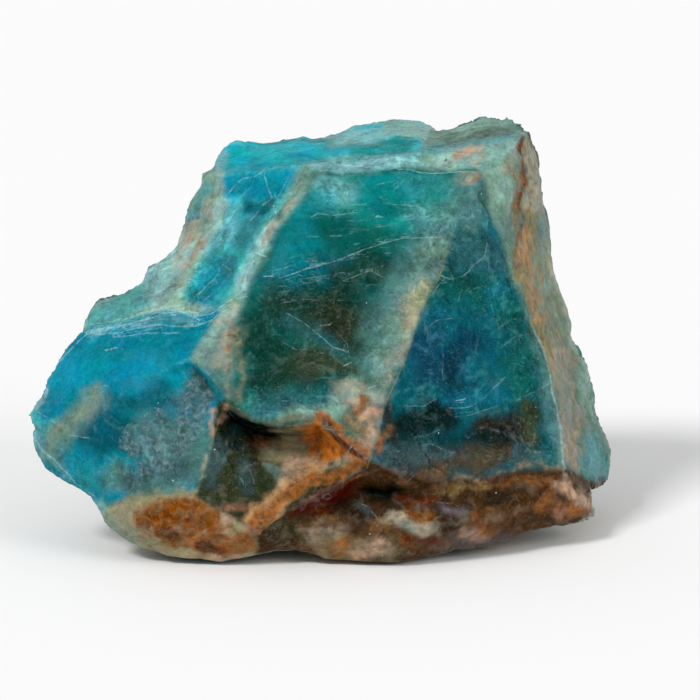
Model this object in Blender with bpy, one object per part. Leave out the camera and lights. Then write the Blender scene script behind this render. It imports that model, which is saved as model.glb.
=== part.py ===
"""Raw apatite: one broken lump of blue-green mineral, resting on a worn flat on its underside.

The lump is one solid. Its corners are written down along the creases where two broken faces meet, as
they are seen from the front by an eye that looks a little down on the stone. Between the creases the
faces are stretched by a Delaunay triangulation, once for the side towards the eye and once for the side
away from it, and the two sides share the stone's outline. The flat faces are then cut small, given the
uneven fracture of the mineral, and at the end the stone gets its flat foot.

Every corner is (right, up, back) in millimetres: right and up as the eye sees them, back along the
line of sight. The finished stone stands in metres, +Z up, with the eye on its -Y side.
"""

import math

import bmesh
import bpy
from mathutils import Matrix, Vector, noise
from mathutils.geometry import delaunay_2d_cdt

MM = 0.001

# The eye that the corners were read by.
EYE_TILT = math.radians(12.0)
EYE_DISTANCE = 600.0
EYE_RIGHT, EYE_UP = 3.5, 21.9
# How far back the stone's foot meets the ground line, up = 0.
FOOT_BACK = -11.0

# The flat faces are cut into triangles with no edge longer than this. A crease is anything sharper than
# the flat angle.
LONGEST_EDGE = 2.3 * MM
FLAT_ANGLE = math.radians(1.0)
# Corners closer together than this are one corner.
SAME_PLACE = 0.02 * MM

# Corners that several creases share.
APEX = (17.0, 40.2, -6.0)
CHIN = (5.2, 10.1, -16.5)
HEAD = (0.3, 39.9, -5.2)
BROW_LEFT = (-9.8, 40.0, 0.5)
BROW_MIDDLE = (-1.8, 40.6, -3.3)
BROW_RIGHT = (21.5, 44.1, -0.5)
LIP_LEFT = (-9.2, 16.3, -13.5)
BAND_FOOT = (-10.3, 25.8, -9.2)
CHIP_TIP = (-13.0, 20.8, -11.9)
FOLD_FOOT = (-14.6, 26.8, -6.2)
WAIST_LEFT = (-7.0, 29.0, -8.9)
WAIST_RIGHT = (13.4, 31.5, -9.2)
SHIN_LEFT = (7.4, 16.2, -14.5)
SHIN_RIGHT = (24.9, 16.0, -3.8)
SILL_RIGHT = (25.5, 9.5, -4.4)
SEAM_TOP = (-9.9, 16.3, -12.2)
SEAM_FOOT = (-12.2, 6.8, -13.6)
NOOK_RIGHT = (4.9, 9.5, -14.6)

# The outline, clockwise from the left shoulder.
OUTLINE = [
    # along the top, over the blue slab and the grey block
    (-11.8, 40.2, 6.0), (-10.5, 40.7, 7.0), (-10.0, 42.0, 8.0), (-8.2, 43.4, 9.0), (-5.0, 43.5, 10.0),
    (-1.1, 44.2, 10.0), (-0.4, 43.8, 9.0), (2.4, 44.4, 10.5), (5.0, 45.0, 12.0), (9.7, 45.7, 12.5),
    (12.0, 44.9, 11.0), (12.4, 44.6, 9.0), (15.0, 45.2, 10.0), (18.5, 46.0, 10.0), (20.6, 46.0, 8.5),
    (21.8, 44.5, 6.0),
    # down the right side to its pale lobe
    (23.0, 39.5, 8.0), (23.8, 34.6, 9.0), (24.6, 30.8, 10.0), (25.7, 26.8, 10.5), (27.0, 22.3, 11.0),
    (28.0, 19.6, 11.0), (29.0, 16.0, 10.5), (29.7, 12.5, 9.5), (30.0, 9.9, 8.5), (29.8, 8.7, 8.0),
    (28.9, 8.0, 6.0),
    # round the pink knob and along the underside
    (27.9, 7.8, 2.0), (28.4, 6.5, 0.0), (28.2, 5.0, -0.5), (27.0, 4.2, -1.5), (24.9, 3.7, -3.5),
    (21.5, 2.8, -5.5), (19.5, 1.9, -6.8), (15.0, 1.2, -8.5), (11.0, 0.7, -10.0), (8.3, 0.0, -11.0),
    (4.5, 0.2, -11.0), (1.0, 0.3, -11.0), (-1.8, 1.2, -10.8), (-5.0, 1.0, -11.0), (-7.5, 0.4, -11.0),
    (-10.0, 0.0, -11.0), (-12.2, 0.4, -10.8), (-15.5, 0.7, -10.5), (-18.0, 1.6, -10.0),
    (-20.0, 2.7, -9.5), (-21.5, 3.9, -9.0),
    # up the blue swell on the left
    (-23.3, 6.8, -8.0), (-25.6, 8.4, -7.0), (-27.6, 9.7, -6.0), (-28.1, 11.0, -5.5), (-29.0, 13.3, -5.0),
    (-29.9, 15.0, -4.0), (-28.9, 16.9, -4.0), (-28.2, 17.3, -4.2), (-28.0, 19.0, -4.0),
    (-27.0, 20.0, -4.0), (-25.2, 22.2, -4.0), (-23.8, 23.5, -4.0),
    # up the pale flank to the shoulder
    (-23.5, 25.0, -3.0), (-22.5, 26.8, -1.5), (-20.0, 28.0, -0.5), (-18.0, 29.0, 0.5), (-17.0, 30.3, 1.0),
    (-15.0, 31.3, 1.5), (-14.0, 33.0, 2.5), (-13.3, 35.0, 3.5), (-12.7, 37.0, 4.5), (-11.9, 38.8, 5.5),
]

# The creases of the side towards the eye, each from left to right or from top to bottom.
FRONT_CREASES = {
    "brow": [
        BROW_LEFT, (-5.5, 40.2, -1.5), BROW_MIDDLE, (3.0, 41.4, -3.0), (9.0, 42.1, -2.6),
        (11.2, 42.5, -2.4), (16.8, 43.0, -2.4), BROW_RIGHT,
    ],
    "step between slab and block": [(12.4, 44.6, 9.0), (12.6, 43.7, 4.0), (11.2, 42.5, -2.4)],
    "ledge on the slab": [
        (-10.2, 40.9, 4.4), (-7.4, 42.1, 5.2), (-4.8, 42.2, 3.6), (-1.6, 43.1, 5.6), (1.2, 42.6, 3.2),
        (4.2, 43.7, 6.0), (7.6, 43.6, 4.2), (10.4, 44.3, 6.2), (12.6, 43.7, 4.0),
    ],
    "ledge on the block": [(12.6, 43.7, 4.0), (15.4, 44.0, 2.4), (18.2, 44.9, 4.2), (21.8, 44.5, 6.0)],
    "head": [HEAD, (8.5, 40.3, -5.6), APEX],
    "spine": [APEX, WAIST_RIGHT, (10.0, 23.5, -12.0), SHIN_LEFT, CHIN],
    "flank": [HEAD, (-4.0, 34.5, -7.1), WAIST_LEFT, (-8.7, 24.0, -10.7), LIP_LEFT],
    "waist": [WAIST_LEFT, (-2.5, 29.8, -9.3), (4.5, 31.0, -9.1), WAIST_RIGHT],
    "lip": [LIP_LEFT, (-6.5, 14.5, -14.3), (-3.8, 13.9, -14.6), (0.2, 14.3, -14.7), (2.8, 12.1, -15.7), CHIN],
    "pale band": [
        BROW_MIDDLE, (-3.2, 38.0, -4.0), (-6.2, 34.0, -5.6), (-8.8, 28.3, -7.8), BAND_FOOT, CHIP_TIP,
    ],
    "chip": [CHIP_TIP, (-11.2, 19.3, -12.6), (-9.6, 17.7, -13.0), LIP_LEFT],
    "under the chip": [(-12.9, 20.3, -11.2), (-11.3, 18.6, -11.7), SEAM_TOP],
    "fold": [BROW_LEFT, (-9.5, 37.0, -0.8), (-10.0, 35.0, -1.6), (-12.4, 31.2, -3.6), FOLD_FOOT],
    "knee of the fold": [(-9.5, 37.0, -0.8), (-6.6, 35.6, -3.8), (-3.2, 38.0, -4.0)],
    "upper ridge": [(-22.4, 24.4, -4.4), (-18.2, 25.6, -5.9), FOLD_FOOT, (-12.5, 26.3, -7.6), BAND_FOOT],
    "ridge": [(-23.8, 23.5, -4.0), (-20.0, 24.4, -7.0), (-16.0, 25.1, -8.2), (-12.6, 25.0, -9.2), BAND_FOOT],
    "swell": [
        (-28.2, 17.3, -4.2), (-24.8, 18.3, -8.4), (-20.5, 18.8, -11.0), (-16.0, 19.3, -12.2),
        (-12.9, 20.3, -11.2),
    ],
    "belly": [
        (-29.0, 13.3, -5.0), (-26.2, 12.6, -7.8), (-22.5, 12.8, -10.9), (-17.5, 12.4, -13.0),
        (-13.5, 12.2, -13.3), (-10.9, 12.0, -13.2),
    ],
    "amber lobe": [
        (-21.5, 3.9, -9.0), (-18.7, 3.9, -11.4), (-15.2, 3.4, -13.2), (-11.4, 3.0, -14.0), (-8.4, 2.9, -13.8),
        (-6.0, 3.0, -13.6),
    ],
    "under the amber lobe": [(-17.4, 1.9, -10.9), (-14.2, 1.6, -12.0), (-9.8, 1.3, -12.4), (-6.4, 1.6, -12.2)],
    "seam": [SEAM_TOP, (-10.4, 13.8, -12.9), (-10.9, 12.0, -13.2), (-11.3, 10.0, -13.4), SEAM_FOOT],
    "nook": [
        SEAM_TOP, (-8.6, 14.9, -10.6), (-6.2, 13.4, -9.2), (-3.6, 13.1, -8.8), (0.0, 13.3, -9.8),
        (2.2, 11.4, -12.8), NOOK_RIGHT,
    ],
    "foot": [(-6.0, 3.0, -13.6), (-3.2, 5.0, -13.7), (0.4, 7.1, -14.0), (3.0, 8.4, -14.5), NOOK_RIGHT],
    "sill": [CHIN, (9.0, 9.0, -14.6), (13.0, 8.3, -12.3), (17.0, 8.2, -9.8), (21.0, 8.9, -7.3), SILL_RIGHT],
    "hollow under the sill": [
        (-3.0, 3.6, -12.4), (1.0, 5.4, -11.6), (4.5, 7.2, -11.2), (8.5, 6.9, -11.4), (13.2, 6.2, -11.5),
        (17.5, 6.8, -9.4), (22.0, 7.8, -7.0),
    ],
    "groove over the knob": [SILL_RIGHT, (26.6, 8.9, -1.2), (28.9, 8.0, 6.0)],
    "shin": [SHIN_LEFT, (12.5, 15.3, -12.1), (19.0, 17.0, -7.9), SHIN_RIGHT],
    "right arris": [
        APEX, (18.2, 37.0, -5.4), (19.3, 34.2, -5.0), (20.4, 30.0, -4.6), (22.0, 25.0, -4.3),
        (24.0, 19.8, -3.9), SHIN_RIGHT, (25.4, 12.5, -3.9), SILL_RIGHT,
    ],
    "shoulder chip": [
        APEX, (18.6, 40.8, -4.6), (20.2, 39.4, -3.3), (21.2, 37.6, -2.2), (20.7, 35.8, -2.6),
        (19.3, 34.2, -5.0),
    ],
    "stained edge": [
        BROW_RIGHT, (21.5, 41.0, -0.7), (21.6, 38.0, -0.9), (21.1, 35.4, -1.6), (20.9, 33.2, -2.4),
        (21.3, 30.2, -3.1), (22.0, 25.0, -4.3),
    ],
    "side line": [
        (22.6, 41.0, 3.0), (23.2, 35.0, 3.5), (23.6, 31.0, 3.2), (24.1, 26.0, 3.0), (25.1, 20.0, 2.5),
        (26.2, 14.0, 2.0), (26.7, 10.5, 0.8), (29.8, 8.7, 8.0),
    ],
}

# Single corners that swell or sink a face between its creases.
FRONT_CORNERS = [
    # the broad face and the triangular face
    (3.0, 36.0, -6.7), (1.0, 22.0, -12.2), (15.5, 25.0, -8.6),
    # the pale flank
    (-11.4, 35.8, 1.2), (-15.0, 29.8, -2.0), (-18.3, 27.4, -3.0), (-21.2, 26.0, -3.0),
    # the blue swell
    (-19.8, 21.8, -9.8), (-15.4, 22.6, -11.0), (-25.2, 20.4, -6.6), (-27.2, 15.4, -6.9),
    (-24.3, 9.3, -8.8), (-20.4, 7.9, -11.4), (-16.4, 7.4, -13.3),
    # the hollow face under the lip
    (-8.2, 10.2, -11.7), (-4.2, 9.8, -10.9), (-0.4, 10.2, -11.2), (2.3, 9.3, -12.9), (-9.4, 7.0, -12.9),
    (-5.6, 6.6, -12.4), (-2.2, 7.4, -12.6),
    # the toe of the stone, below the sill
    (-3.6, 2.1, -12.6), (1.0, 2.8, -13.0), (5.0, 4.4, -13.7), (10.2, 3.7, -13.6), (15.4, 4.2, -11.6),
    (20.4, 4.9, -9.0), (25.0, 6.4, -6.2),
    # the pink knob
    (26.8, 8.0, -2.6), (27.2, 6.3, -3.6),
]

# The side away from the eye: broken faces of the stone's far side, and its underside.
BACK_CREASES = {
    "back crest": [(-9.0, 36.5, 10.5), (-1.5, 38.5, 14.2), (7.5, 39.5, 15.8), (16.5, 38.5, 13.8)],
    "back spine": [(7.5, 39.5, 15.8), (4.5, 28.0, 19.0), (2.5, 16.5, 21.0), (4.0, 8.5, 19.4)],
    "back left fold": [(-9.0, 36.5, 10.5), (-12.5, 27.0, 10.6), (-16.5, 16.5, 10.2), (-14.5, 6.6, 11.0)],
    "back right fold": [(16.5, 38.5, 13.8), (18.5, 26.0, 16.6), (19.0, 14.0, 16.2), (16.0, 7.0, 14.4)],
    "heel": [(-14.5, 6.6, 11.0), (-5.0, 7.6, 16.6), (4.0, 8.5, 19.4), (16.0, 7.0, 14.4), (24.0, 8.6, 8.4)],
    # A little below the ground, where the flat foot is cut.
    "sole": [
        (-12.6, 3.1, 9.8), (-4.0, 4.6, 15.2), (5.0, 5.2, 17.6), (13.5, 4.2, 13.4), (14.5, 2.6, 7.5),
        (10.5, 1.0, 0.0), (5.6, 0.6, -1.9), (-1.4, 1.75, 3.5), (-5.0, 1.5, 2.3), (-9.0, 0.6, -1.9),
        (-13.4, 1.3, 1.4), (-15.0, 2.5, 7.0), (-12.6, 3.1, 9.8),
    ],
}
BACK_CORNERS = [
    (-3.5, 29.0, 14.2), (11.8, 31.0, 19.2), (-7.5, 17.0, 15.0), (10.5, 15.0, 20.4),
    (-20.5, 21.0, 5.2), (-23.5, 13.0, 3.8), (23.5, 20.0, 14.2), (25.5, 13.0, 12.6),
    (-19.0, 6.6, 2.4), (19.6, 5.0, 5.0), (0.0, 3.1, 9.8), (27.4, 8.8, 8.4), (29.0, 9.8, 9.6),
]

# The uneven fracture, as (wave length, height) pairs in millimetres, coarse to fine.
FRACTURE_WAVES = [(14.0, 0.60), (6.0, 0.38)]
# Shallow shells left by the blows that broke the stone, as cells of a random net.
SHELL_SIZE, SHELL_DEPTH = 7.0, 0.50
# The creases wander off their straight lines, and small nicks are knocked out of the sharp ones.
WANDER_SIZE, WANDER = 4.5, 0.42
NICK_SIZE, NICK_DEPTH = 2.4, 0.9
SHARP_ANGLE = math.radians(70.0)
# Below this height over the ground the fracture fades out into the worn foot.
WORN_HEIGHT = 2.5 * MM


def clear_scene():
    for old in list(bpy.data.objects):
        bpy.data.objects.remove(old, do_unlink=True)


def placed(corner):
    """A corner as the eye sees it, put in the stone's own frame. What is further back is drawn smaller."""
    right, up, back = corner
    spread = 1.0 + back / EYE_DISTANCE
    across = EYE_RIGHT + (right - EYE_RIGHT) * spread
    rise = EYE_UP + (up - EYE_UP) * spread
    depth = back - FOOT_BACK
    return Vector(
        (
            across,
            rise * math.sin(EYE_TILT) + depth * math.cos(EYE_TILT),
            rise * math.cos(EYE_TILT) - depth * math.sin(EYE_TILT),
        )
    ) * MM


def stretched_side(creases, corners):
    """Stretches faces over one side's creases inside the outline: (corners, triangles)."""
    points = list(OUTLINE)
    edges = [(i, (i + 1) % len(OUTLINE)) for i in range(len(OUTLINE))]
    for crease in creases.values():
        start = len(points)
        points += crease
        edges += [(i, i + 1) for i in range(start, len(points) - 1)]
    points += corners
    flat = [Vector((right, up)) for right, up, _ in points]
    net = delaunay_2d_cdt(flat, edges, [list(range(len(OUTLINE)))], 1, 0.01)
    net_points, triangles, sources = net[0], net[2], net[3]
    found = [points[source[0]] if source else None for source in sources]
    if None in found:
        at = net_points[found.index(None)]
        raise ValueError(f"two creases cross at {at.x:.1f}, {at.y:.1f}")
    return found, triangles


def stone_shell():
    """The closed shell of flat faces: the near side, and the far side turned to face away."""
    bm = bmesh.new()
    for creases, corners in ((FRONT_CREASES, FRONT_CORNERS), (BACK_CREASES, BACK_CORNERS)):
        found, triangles = stretched_side(creases, corners)
        verts = [bm.verts.new(placed(corner)) for corner in found]
        for triangle in triangles:
            bm.faces.new([verts[i] for i in triangle])
    bmesh.ops.remove_doubles(bm, verts=bm.verts, dist=SAME_PLACE)
    bmesh.ops.recalc_face_normals(bm, faces=bm.faces)
    return bm


def split_long_edges(bm):
    """Cuts the flat faces into small even triangles, and leaves the creases as they are."""
    while True:
        too_long = [edge for edge in bm.edges if edge.calc_length() > LONGEST_EDGE]
        if not too_long:
            return
        bmesh.ops.subdivide_edges(bm, edges=too_long, cuts=1, use_single_edge=True)
        bmesh.ops.triangulate(bm, faces=bm.faces)
        in_one_face = [edge for edge in bm.edges if edge.calc_face_angle() < FLAT_ANGLE]
        bmesh.ops.beautify_fill(bm, faces=bm.faces, edges=in_one_face)


def fracture_height(point):
    """How far the broken surface stands out of its flat face at a point given in millimetres."""
    height = 0.0
    for layer, (length, amplitude) in enumerate(FRACTURE_WAVES):
        shifted = point / length + Vector((7.3, 1.9, 4.1)) * layer
        height += amplitude * noise.noise(shifted)
    nearest = noise.voronoi(point / SHELL_SIZE)[0][0]
    return height + SHELL_DEPTH * (nearest * nearest - 0.2)


def wander(point):
    """How far a point drifts sideways, each way by its own noise."""
    return Vector([noise.noise(point / WANDER_SIZE + Vector((31.0, 17.0, 5.0)) * way) for way in range(3)])


def sharpness(vert):
    """From 0 on a flat face to 1 on a sharp outward edge."""
    angles = [edge.calc_face_angle_signed() for edge in vert.link_edges]
    return min(max(max(angles) / SHARP_ANGLE, 0.0), 1.0)


def fracture_move(vert):
    """Where the fracture takes one vertex of the evenly cut faces."""
    point = vert.co / MM
    height = fracture_height(point) - NICK_DEPTH * sharpness(vert) * max(0.0, noise.noise(point / NICK_SIZE))
    unworn = min(max(vert.co.z / WORN_HEIGHT, 0.0), 1.0)
    return (vert.normal * height + wander(point) * WANDER) * unworn * MM


def fracture(bm):
    """Makes the flat faces uneven and the straight creases ragged."""
    bm.normal_update()
    moves = [(vert, fracture_move(vert)) for vert in bm.verts]
    for vert, move in moves:
        vert.co += move


def cut_foot(bm):
    """Wears the underside flat at the ground, and closes it there."""
    everything = bm.verts[:] + bm.edges[:] + bm.faces[:]
    cut = bmesh.ops.bisect_plane(
        bm, geom=everything, plane_co=(0, 0, 0), plane_no=(0, 0, 1), clear_inner=True
    )
    rim = [piece for piece in cut["geom_cut"] if isinstance(piece, bmesh.types.BMEdge)]
    bmesh.ops.holes_fill(bm, edges=rim, sides=0)
    bmesh.ops.remove_doubles(bm, verts=bm.verts, dist=SAME_PLACE)
    bmesh.ops.triangulate(bm, faces=bm.faces)
    bmesh.ops.recalc_face_normals(bm, faces=bm.faces)


def centre_on_foot(bm):
    """Puts the origin under the middle of the stone, on the ground."""
    across = [vert.co.x for vert in bm.verts]
    deep = [vert.co.y for vert in bm.verts]
    middle = Vector(((min(across) + max(across)) / 2, (min(deep) + max(deep)) / 2, 0.0))
    bmesh.ops.translate(bm, verts=bm.verts, vec=-middle)
    print(f"the middle was {middle.x / MM:.2f} mm right and {middle.y / MM:.2f} mm back")


def apatite_material():
    material = bpy.data.materials.new("raw apatite")
    material.use_nodes = True
    shader = material.node_tree.nodes["Principled BSDF"]
    shader.inputs["Base Color"].default_value = (0.03, 0.22, 0.25, 1.0)
    shader.inputs["Roughness"].default_value = 0.35
    shader.inputs["Metallic"].default_value = 0.0
    return material


def raw_apatite():
    bm = stone_shell()
    split_long_edges(bm)
    fracture(bm)
    cut_foot(bm)
    centre_on_foot(bm)
    mesh = bpy.data.meshes.new("raw_apatite")
    bm.to_mesh(mesh)
    bm.free()
    mesh.materials.append(apatite_material())
    stone = bpy.data.objects.new("raw_apatite", mesh)
    bpy.context.scene.collection.objects.link(stone)
    return stone


clear_scene()
raw_apatite()
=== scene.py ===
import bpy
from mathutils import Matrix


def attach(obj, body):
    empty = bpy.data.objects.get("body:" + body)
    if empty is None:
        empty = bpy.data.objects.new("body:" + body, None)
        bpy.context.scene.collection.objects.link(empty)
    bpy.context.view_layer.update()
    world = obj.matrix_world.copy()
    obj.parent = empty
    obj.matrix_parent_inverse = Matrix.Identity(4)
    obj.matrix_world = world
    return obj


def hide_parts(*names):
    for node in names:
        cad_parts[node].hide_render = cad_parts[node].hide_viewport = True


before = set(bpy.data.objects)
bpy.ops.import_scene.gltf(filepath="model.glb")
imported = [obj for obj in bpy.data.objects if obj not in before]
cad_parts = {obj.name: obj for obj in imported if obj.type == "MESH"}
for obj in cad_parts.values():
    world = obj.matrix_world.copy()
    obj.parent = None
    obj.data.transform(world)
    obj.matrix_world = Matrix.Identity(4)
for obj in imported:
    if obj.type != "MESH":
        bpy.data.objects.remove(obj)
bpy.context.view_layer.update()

# %% [markdown]
# # A raw piece of apatite
# The object is one broken lump of blue-green apatite, about 60 mm wide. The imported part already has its
# big faces, ledges and hollows. Here it gets what the eye sees from close by: ragged fracture, the deep
# colour of the crystal, white veils inside it, and the beige and rust films on its old outer skin.

# %% Tools
import math

import bmesh
import bpy
import numpy as np
from mathutils import Vector, noise

MM = 0.001


def show(title, values):
    print(f"{title}: {len(values)} values from {np.min(values):.3f} to {np.max(values):.3f}")


# %% [markdown]
# ## Seeing the stone as the photo does
# The marks on a natural stone follow no rule, so they are placed one by one: this far right and this far up
# in the photo. The same eye is set up here, looking 12 degrees down from 600 mm away, to turn a point of
# the mesh into millimetres to the right, up, and back from the eye. The camera uses it again at the end.

# %% The eye
EYE_TILT = math.radians(12.0)
EYE_DISTANCE = 600.0
EYE_RIGHT, EYE_UP = 3.5, 21.9  # where the eye looks, in the photo's millimetres
MIDDLE_RIGHT, MIDDLE_BACK = 0.67, 16.99  # the stone's middle, seen from the front of its foot
FOOT_BACK = -11.0  # the front of the foot, nearer to the eye than where it looks


def seen(points):
    """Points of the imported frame, in millimetres, as right, up and back from the eye's axis."""
    across = points[:, 0] + MIDDLE_RIGHT
    deep = points[:, 1] + MIDDLE_BACK
    rise = deep * math.sin(EYE_TILT) + points[:, 2] * math.cos(EYE_TILT)
    back = deep * math.cos(EYE_TILT) - points[:, 2] * math.sin(EYE_TILT) + FOOT_BACK
    spread = 1.0 + back / EYE_DISTANCE
    right = EYE_RIGHT + (across - EYE_RIGHT) / spread
    up = EYE_UP + (rise - EYE_UP) / spread
    return np.stack([right, up, back], axis=1)


TO_EYE = np.array([0.0, -math.cos(EYE_TILT), math.sin(EYE_TILT)])
print("the eye sees the frame's origin at", np.round(seen(np.zeros((1, 3)))[0], 2))

# %% [markdown]
# ## A closer mesh
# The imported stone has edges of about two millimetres. Fracture a third of a millimetre across needs a
# finer and more even mesh. Subdividing would keep the uneven triangles, so the copy is merged into one
# skin and wrapped again in an even grid by the Remesh modifier.

# %% Wrap the copy in an even grid
GRID = 0.32 * MM

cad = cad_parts["raw_apatite"]
bm = bmesh.new()
bm.from_mesh(cad.data)
bmesh.ops.remove_doubles(bm, verts=bm.verts, dist=0.001 * MM)
skin = bpy.data.meshes.new("stone_skin")
bm.to_mesh(skin)
bm.free()

stone = bpy.data.objects.new("apatite_stone", skin)
bpy.context.scene.collection.objects.link(stone)
wrap = stone.modifiers.new("even grid", "REMESH")
wrap.mode = "VOXEL"
wrap.voxel_size = GRID
graph = bpy.context.evaluated_depsgraph_get()
stone.data = bpy.data.meshes.new_from_object(stone.evaluated_get(graph))
stone.modifiers.clear()
print("the even grid has", len(stone.data.vertices), "vertices and", len(stone.data.polygons), "faces")

# %% Read the grid as arrays


def mesh_array(domain, name):
    values = np.zeros(len(domain) * 3, np.float32)
    domain.foreach_get(name, values)
    return values.reshape(-1, 3).astype(float)


points = mesh_array(stone.data.vertices, "co") / MM
normals = mesh_array(stone.data.vertices, "normal")
SEED_STEP = np.array([3.7, 9.1, 5.3])  # each seed reads the noise at another place


def noise_at(size, seed):
    """Smooth noise from -1 to 1 with patches of that many millimetres."""
    return np.array([noise.noise(p) for p in points / size + SEED_STEP * seed])


def smooth_step(low, high, values):
    """0 at low, 1 at high, smooth between, and flat beyond; low may be the larger."""
    t = np.clip((values - low) / (high - low), 0.0, 1.0)
    return t * t * (3.0 - 2.0 * t)


# %% [markdown]
# ## Where each vertex lies in the eye's view
# The part's creases wander a little, as real ones do. The same wander is taken off here, so that a colour
# that stops at a crease stops exactly on it. Each face of the stone is a closed line through the corners
# it has in the eye's view, and every vertex gets its distance inside that line.

# %% Place in the view
WANDER, WANDER_SIZE = 0.42, 4.5  # how far and over what length the creases wander
WORN_HEIGHT = 2.5  # below this the wander dies out towards the foot
WAY_STEP = np.array([31.0, 17.0, 5.0])


def drift(at):
    """The wander of each point, as three noises, one for each way."""
    ways = [at / WANDER_SIZE + WAY_STEP * way for way in range(3)]
    return np.stack([np.array([noise.noise(p) for p in way]) for way in ways], axis=1)


unworn = np.clip(points[:, 2] / WORN_HEIGHT, 0.0, 1.0)[:, None]
place = seen(points - WANDER * drift(points) * unworn)
right, up = place[:, 0], place[:, 1]
facing = smooth_step(-0.02, 0.22, normals @ TO_EYE)
show("how much the surface faces the eye", facing)

# %% Faces of the stone, as the eye sees them
APEX, CHIN, HEAD = (17.0, 40.2), (5.2, 10.1), (0.3, 39.9)
BROW_LEFT, BROW_MIDDLE, BROW_RIGHT = (-9.8, 40.0), (-1.8, 40.6), (21.5, 44.1)
SPINE = [APEX, (13.4, 31.5), (10.0, 23.5), (7.4, 16.2), CHIN]
LIP = [(-9.2, 16.3), (-6.5, 14.5), (-3.8, 13.9), (0.2, 14.3), (2.8, 12.1), CHIN]
SILL = [CHIN, (9.0, 9.0), (13.0, 8.3), (17.0, 8.2), (21.0, 8.9), (25.5, 9.5)]
ARRIS = [APEX, (18.2, 37.0), (19.3, 34.2), (20.4, 30.0), (22.0, 25.0), (24.0, 19.8), (24.9, 16.0)]
ARRIS += [SILL[-1]]
BAND = [BROW_MIDDLE, (-3.2, 38.0), (-6.2, 34.0), (-8.8, 28.3), (-10.3, 25.8), (-13.0, 20.8)]
FLANK = [HEAD, (-4.0, 34.5), (-7.0, 29.0), (-8.7, 24.0), (-9.2, 16.3)]
FOLD = [BROW_LEFT, (-9.5, 37.0), (-10.0, 35.0), (-12.4, 31.2), (-14.6, 26.8)]
RIDGE = [(-23.8, 23.5), (-20.0, 24.6), (-16.0, 25.3), (-12.6, 25.3), (-10.3, 25.8)]
FOOT = [(-6.0, 3.0), (-3.2, 5.0), (0.4, 7.1), (3.0, 8.4), (4.9, 9.5)]
SEAM = [(-9.9, 16.3), (-10.4, 13.8), (-10.9, 12.0), (-11.3, 10.0), (-12.2, 6.8)]
STEP = [BROW_LEFT, (-5.5, 40.2), BROW_MIDDLE, (3.0, 41.4), (9.0, 42.1), (11.2, 42.5)]
LOBE = [SEAM[-1], (-14.0, 6.8), (-18.0, 6.9), (-21.0, 5.6), (-24.0, 3.0)]
SIDE_RIM = [APEX, (18.6, 40.8), BROW_RIGHT, (24, 48), (34, 8), (28.9, 8.2), (26.6, 8.9)]

FACES = {
    # name: how soft its border is in mm, and its corners
    "slab": (0.12, [(-12, 39)] + STEP + [(12.4, 47), (-12, 47)]),
    "block": (0.25, [STEP[-1], (16.8, 43.0), BROW_RIGHT, (24, 48), (12.4, 48)]),
    "brow": (0.40, STEP[2:] + [(16.8, 43.0), BROW_RIGHT, (21.4, 41), (18.6, 40.8), APEX, (8.5, 40.3), HEAD]),
    "broad": (0.35, SPINE + LIP[::-1] + FLANK[::-1]),
    "band": (0.45, BAND + [(-9.6, 17.7)] + FLANK[::-1]),
    "blue": (0.12, SPINE + SILL + ARRIS[::-1]),
    "side": (0.15, SIDE_RIM + ARRIS[::-1]),
    "gully": (0.40, BAND[:5] + FOLD[::-1]),
    "shoulder": (0.35, FOLD + [(-10.3, 25.8)] + RIDGE[::-1] + [(-27, 25), (-20, 36), (-13, 42)]),
    "swell": (0.30, RIDGE + [(-13.0, 20.8), (-11.3, 18.6)] + SEAM + LOBE + [(-34, 8), (-34, 20)]),
    "lobe": (0.50, LOBE + [(-20, -2), (-5.5, -2), (-5.8, 3.2), (-8, 4.6)]),
    "nook": (0.15, SEAM + [(-8, 4.6)] + FOOT + [CHIN] + LIP[::-1]),
    "toe": (0.20, FOOT + SILL + [(26.6, 8.9), (28.9, 8.2), (34, 7), (30, -2), (-5.5, -2), (-5.8, 3.2)]),
}


def inside_by(corners):
    """How far inside the closed line each vertex lies, in millimetres, negative outside."""
    hits = np.zeros(len(points), bool)
    nearest = np.full(len(points), 1e9)
    for (x0, y0), (x1, y1) in zip(corners, corners[1:] + corners[:1]):
        if y0 != y1:
            crosses = (y0 > up) != (y1 > up)
            hits ^= crosses & (right < x0 + (up - y0) * (x1 - x0) / (y1 - y0))
        nearest = np.minimum(nearest, distance_to([(x0, y0), (x1, y1)]))
    return np.where(hits, nearest, -nearest)


def distance_to(path, shake=(0.0, 0.0)):
    """Distance from the path in the eye's view, in millimetres; shake moves the vertices first."""
    x, y = right + shake[0], up + shake[1]
    nearest = np.full(len(points), 1e9)
    for (x0, y0), (x1, y1) in list(zip(path, path[1:])) or [(path[0], path[0])]:
        along = (x - x0) * (x1 - x0) + (y - y0) * (y1 - y0)
        t = np.clip(along / max((x1 - x0) ** 2 + (y1 - y0) ** 2, 1e-9), 0.0, 1.0)
        nearest = np.minimum(nearest, np.hypot(x - x0 - t * (x1 - x0), y - y0 - t * (y1 - y0)))
    return nearest


ragged = 0.35 * noise_at(1.3, 23)
masks, wide_masks = {}, {}
for name, (soft, corners) in FACES.items():
    depth = inside_by(corners)
    masks[name] = smooth_step(-soft, soft, depth + ragged * soft)
    wide_masks[name] = smooth_step(-0.8, -0.1, depth)
    print(f"face {name}: {int((depth > 0).sum())} vertices")

# %% [markdown]
# ## Fracture
# Apatite breaks unevenly: in shallow shells with ripples, in flat chips that tilt every way, in small steps
# where the break jumps from one level to the next, and in crumbs. Each is a height over the surface,
# worked out at every vertex and added up, and then every vertex moves that far along its normal. The two
# glassy faces broke clean, so they get less of it, and the flat foot stays flat.

# %% Chips


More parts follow.
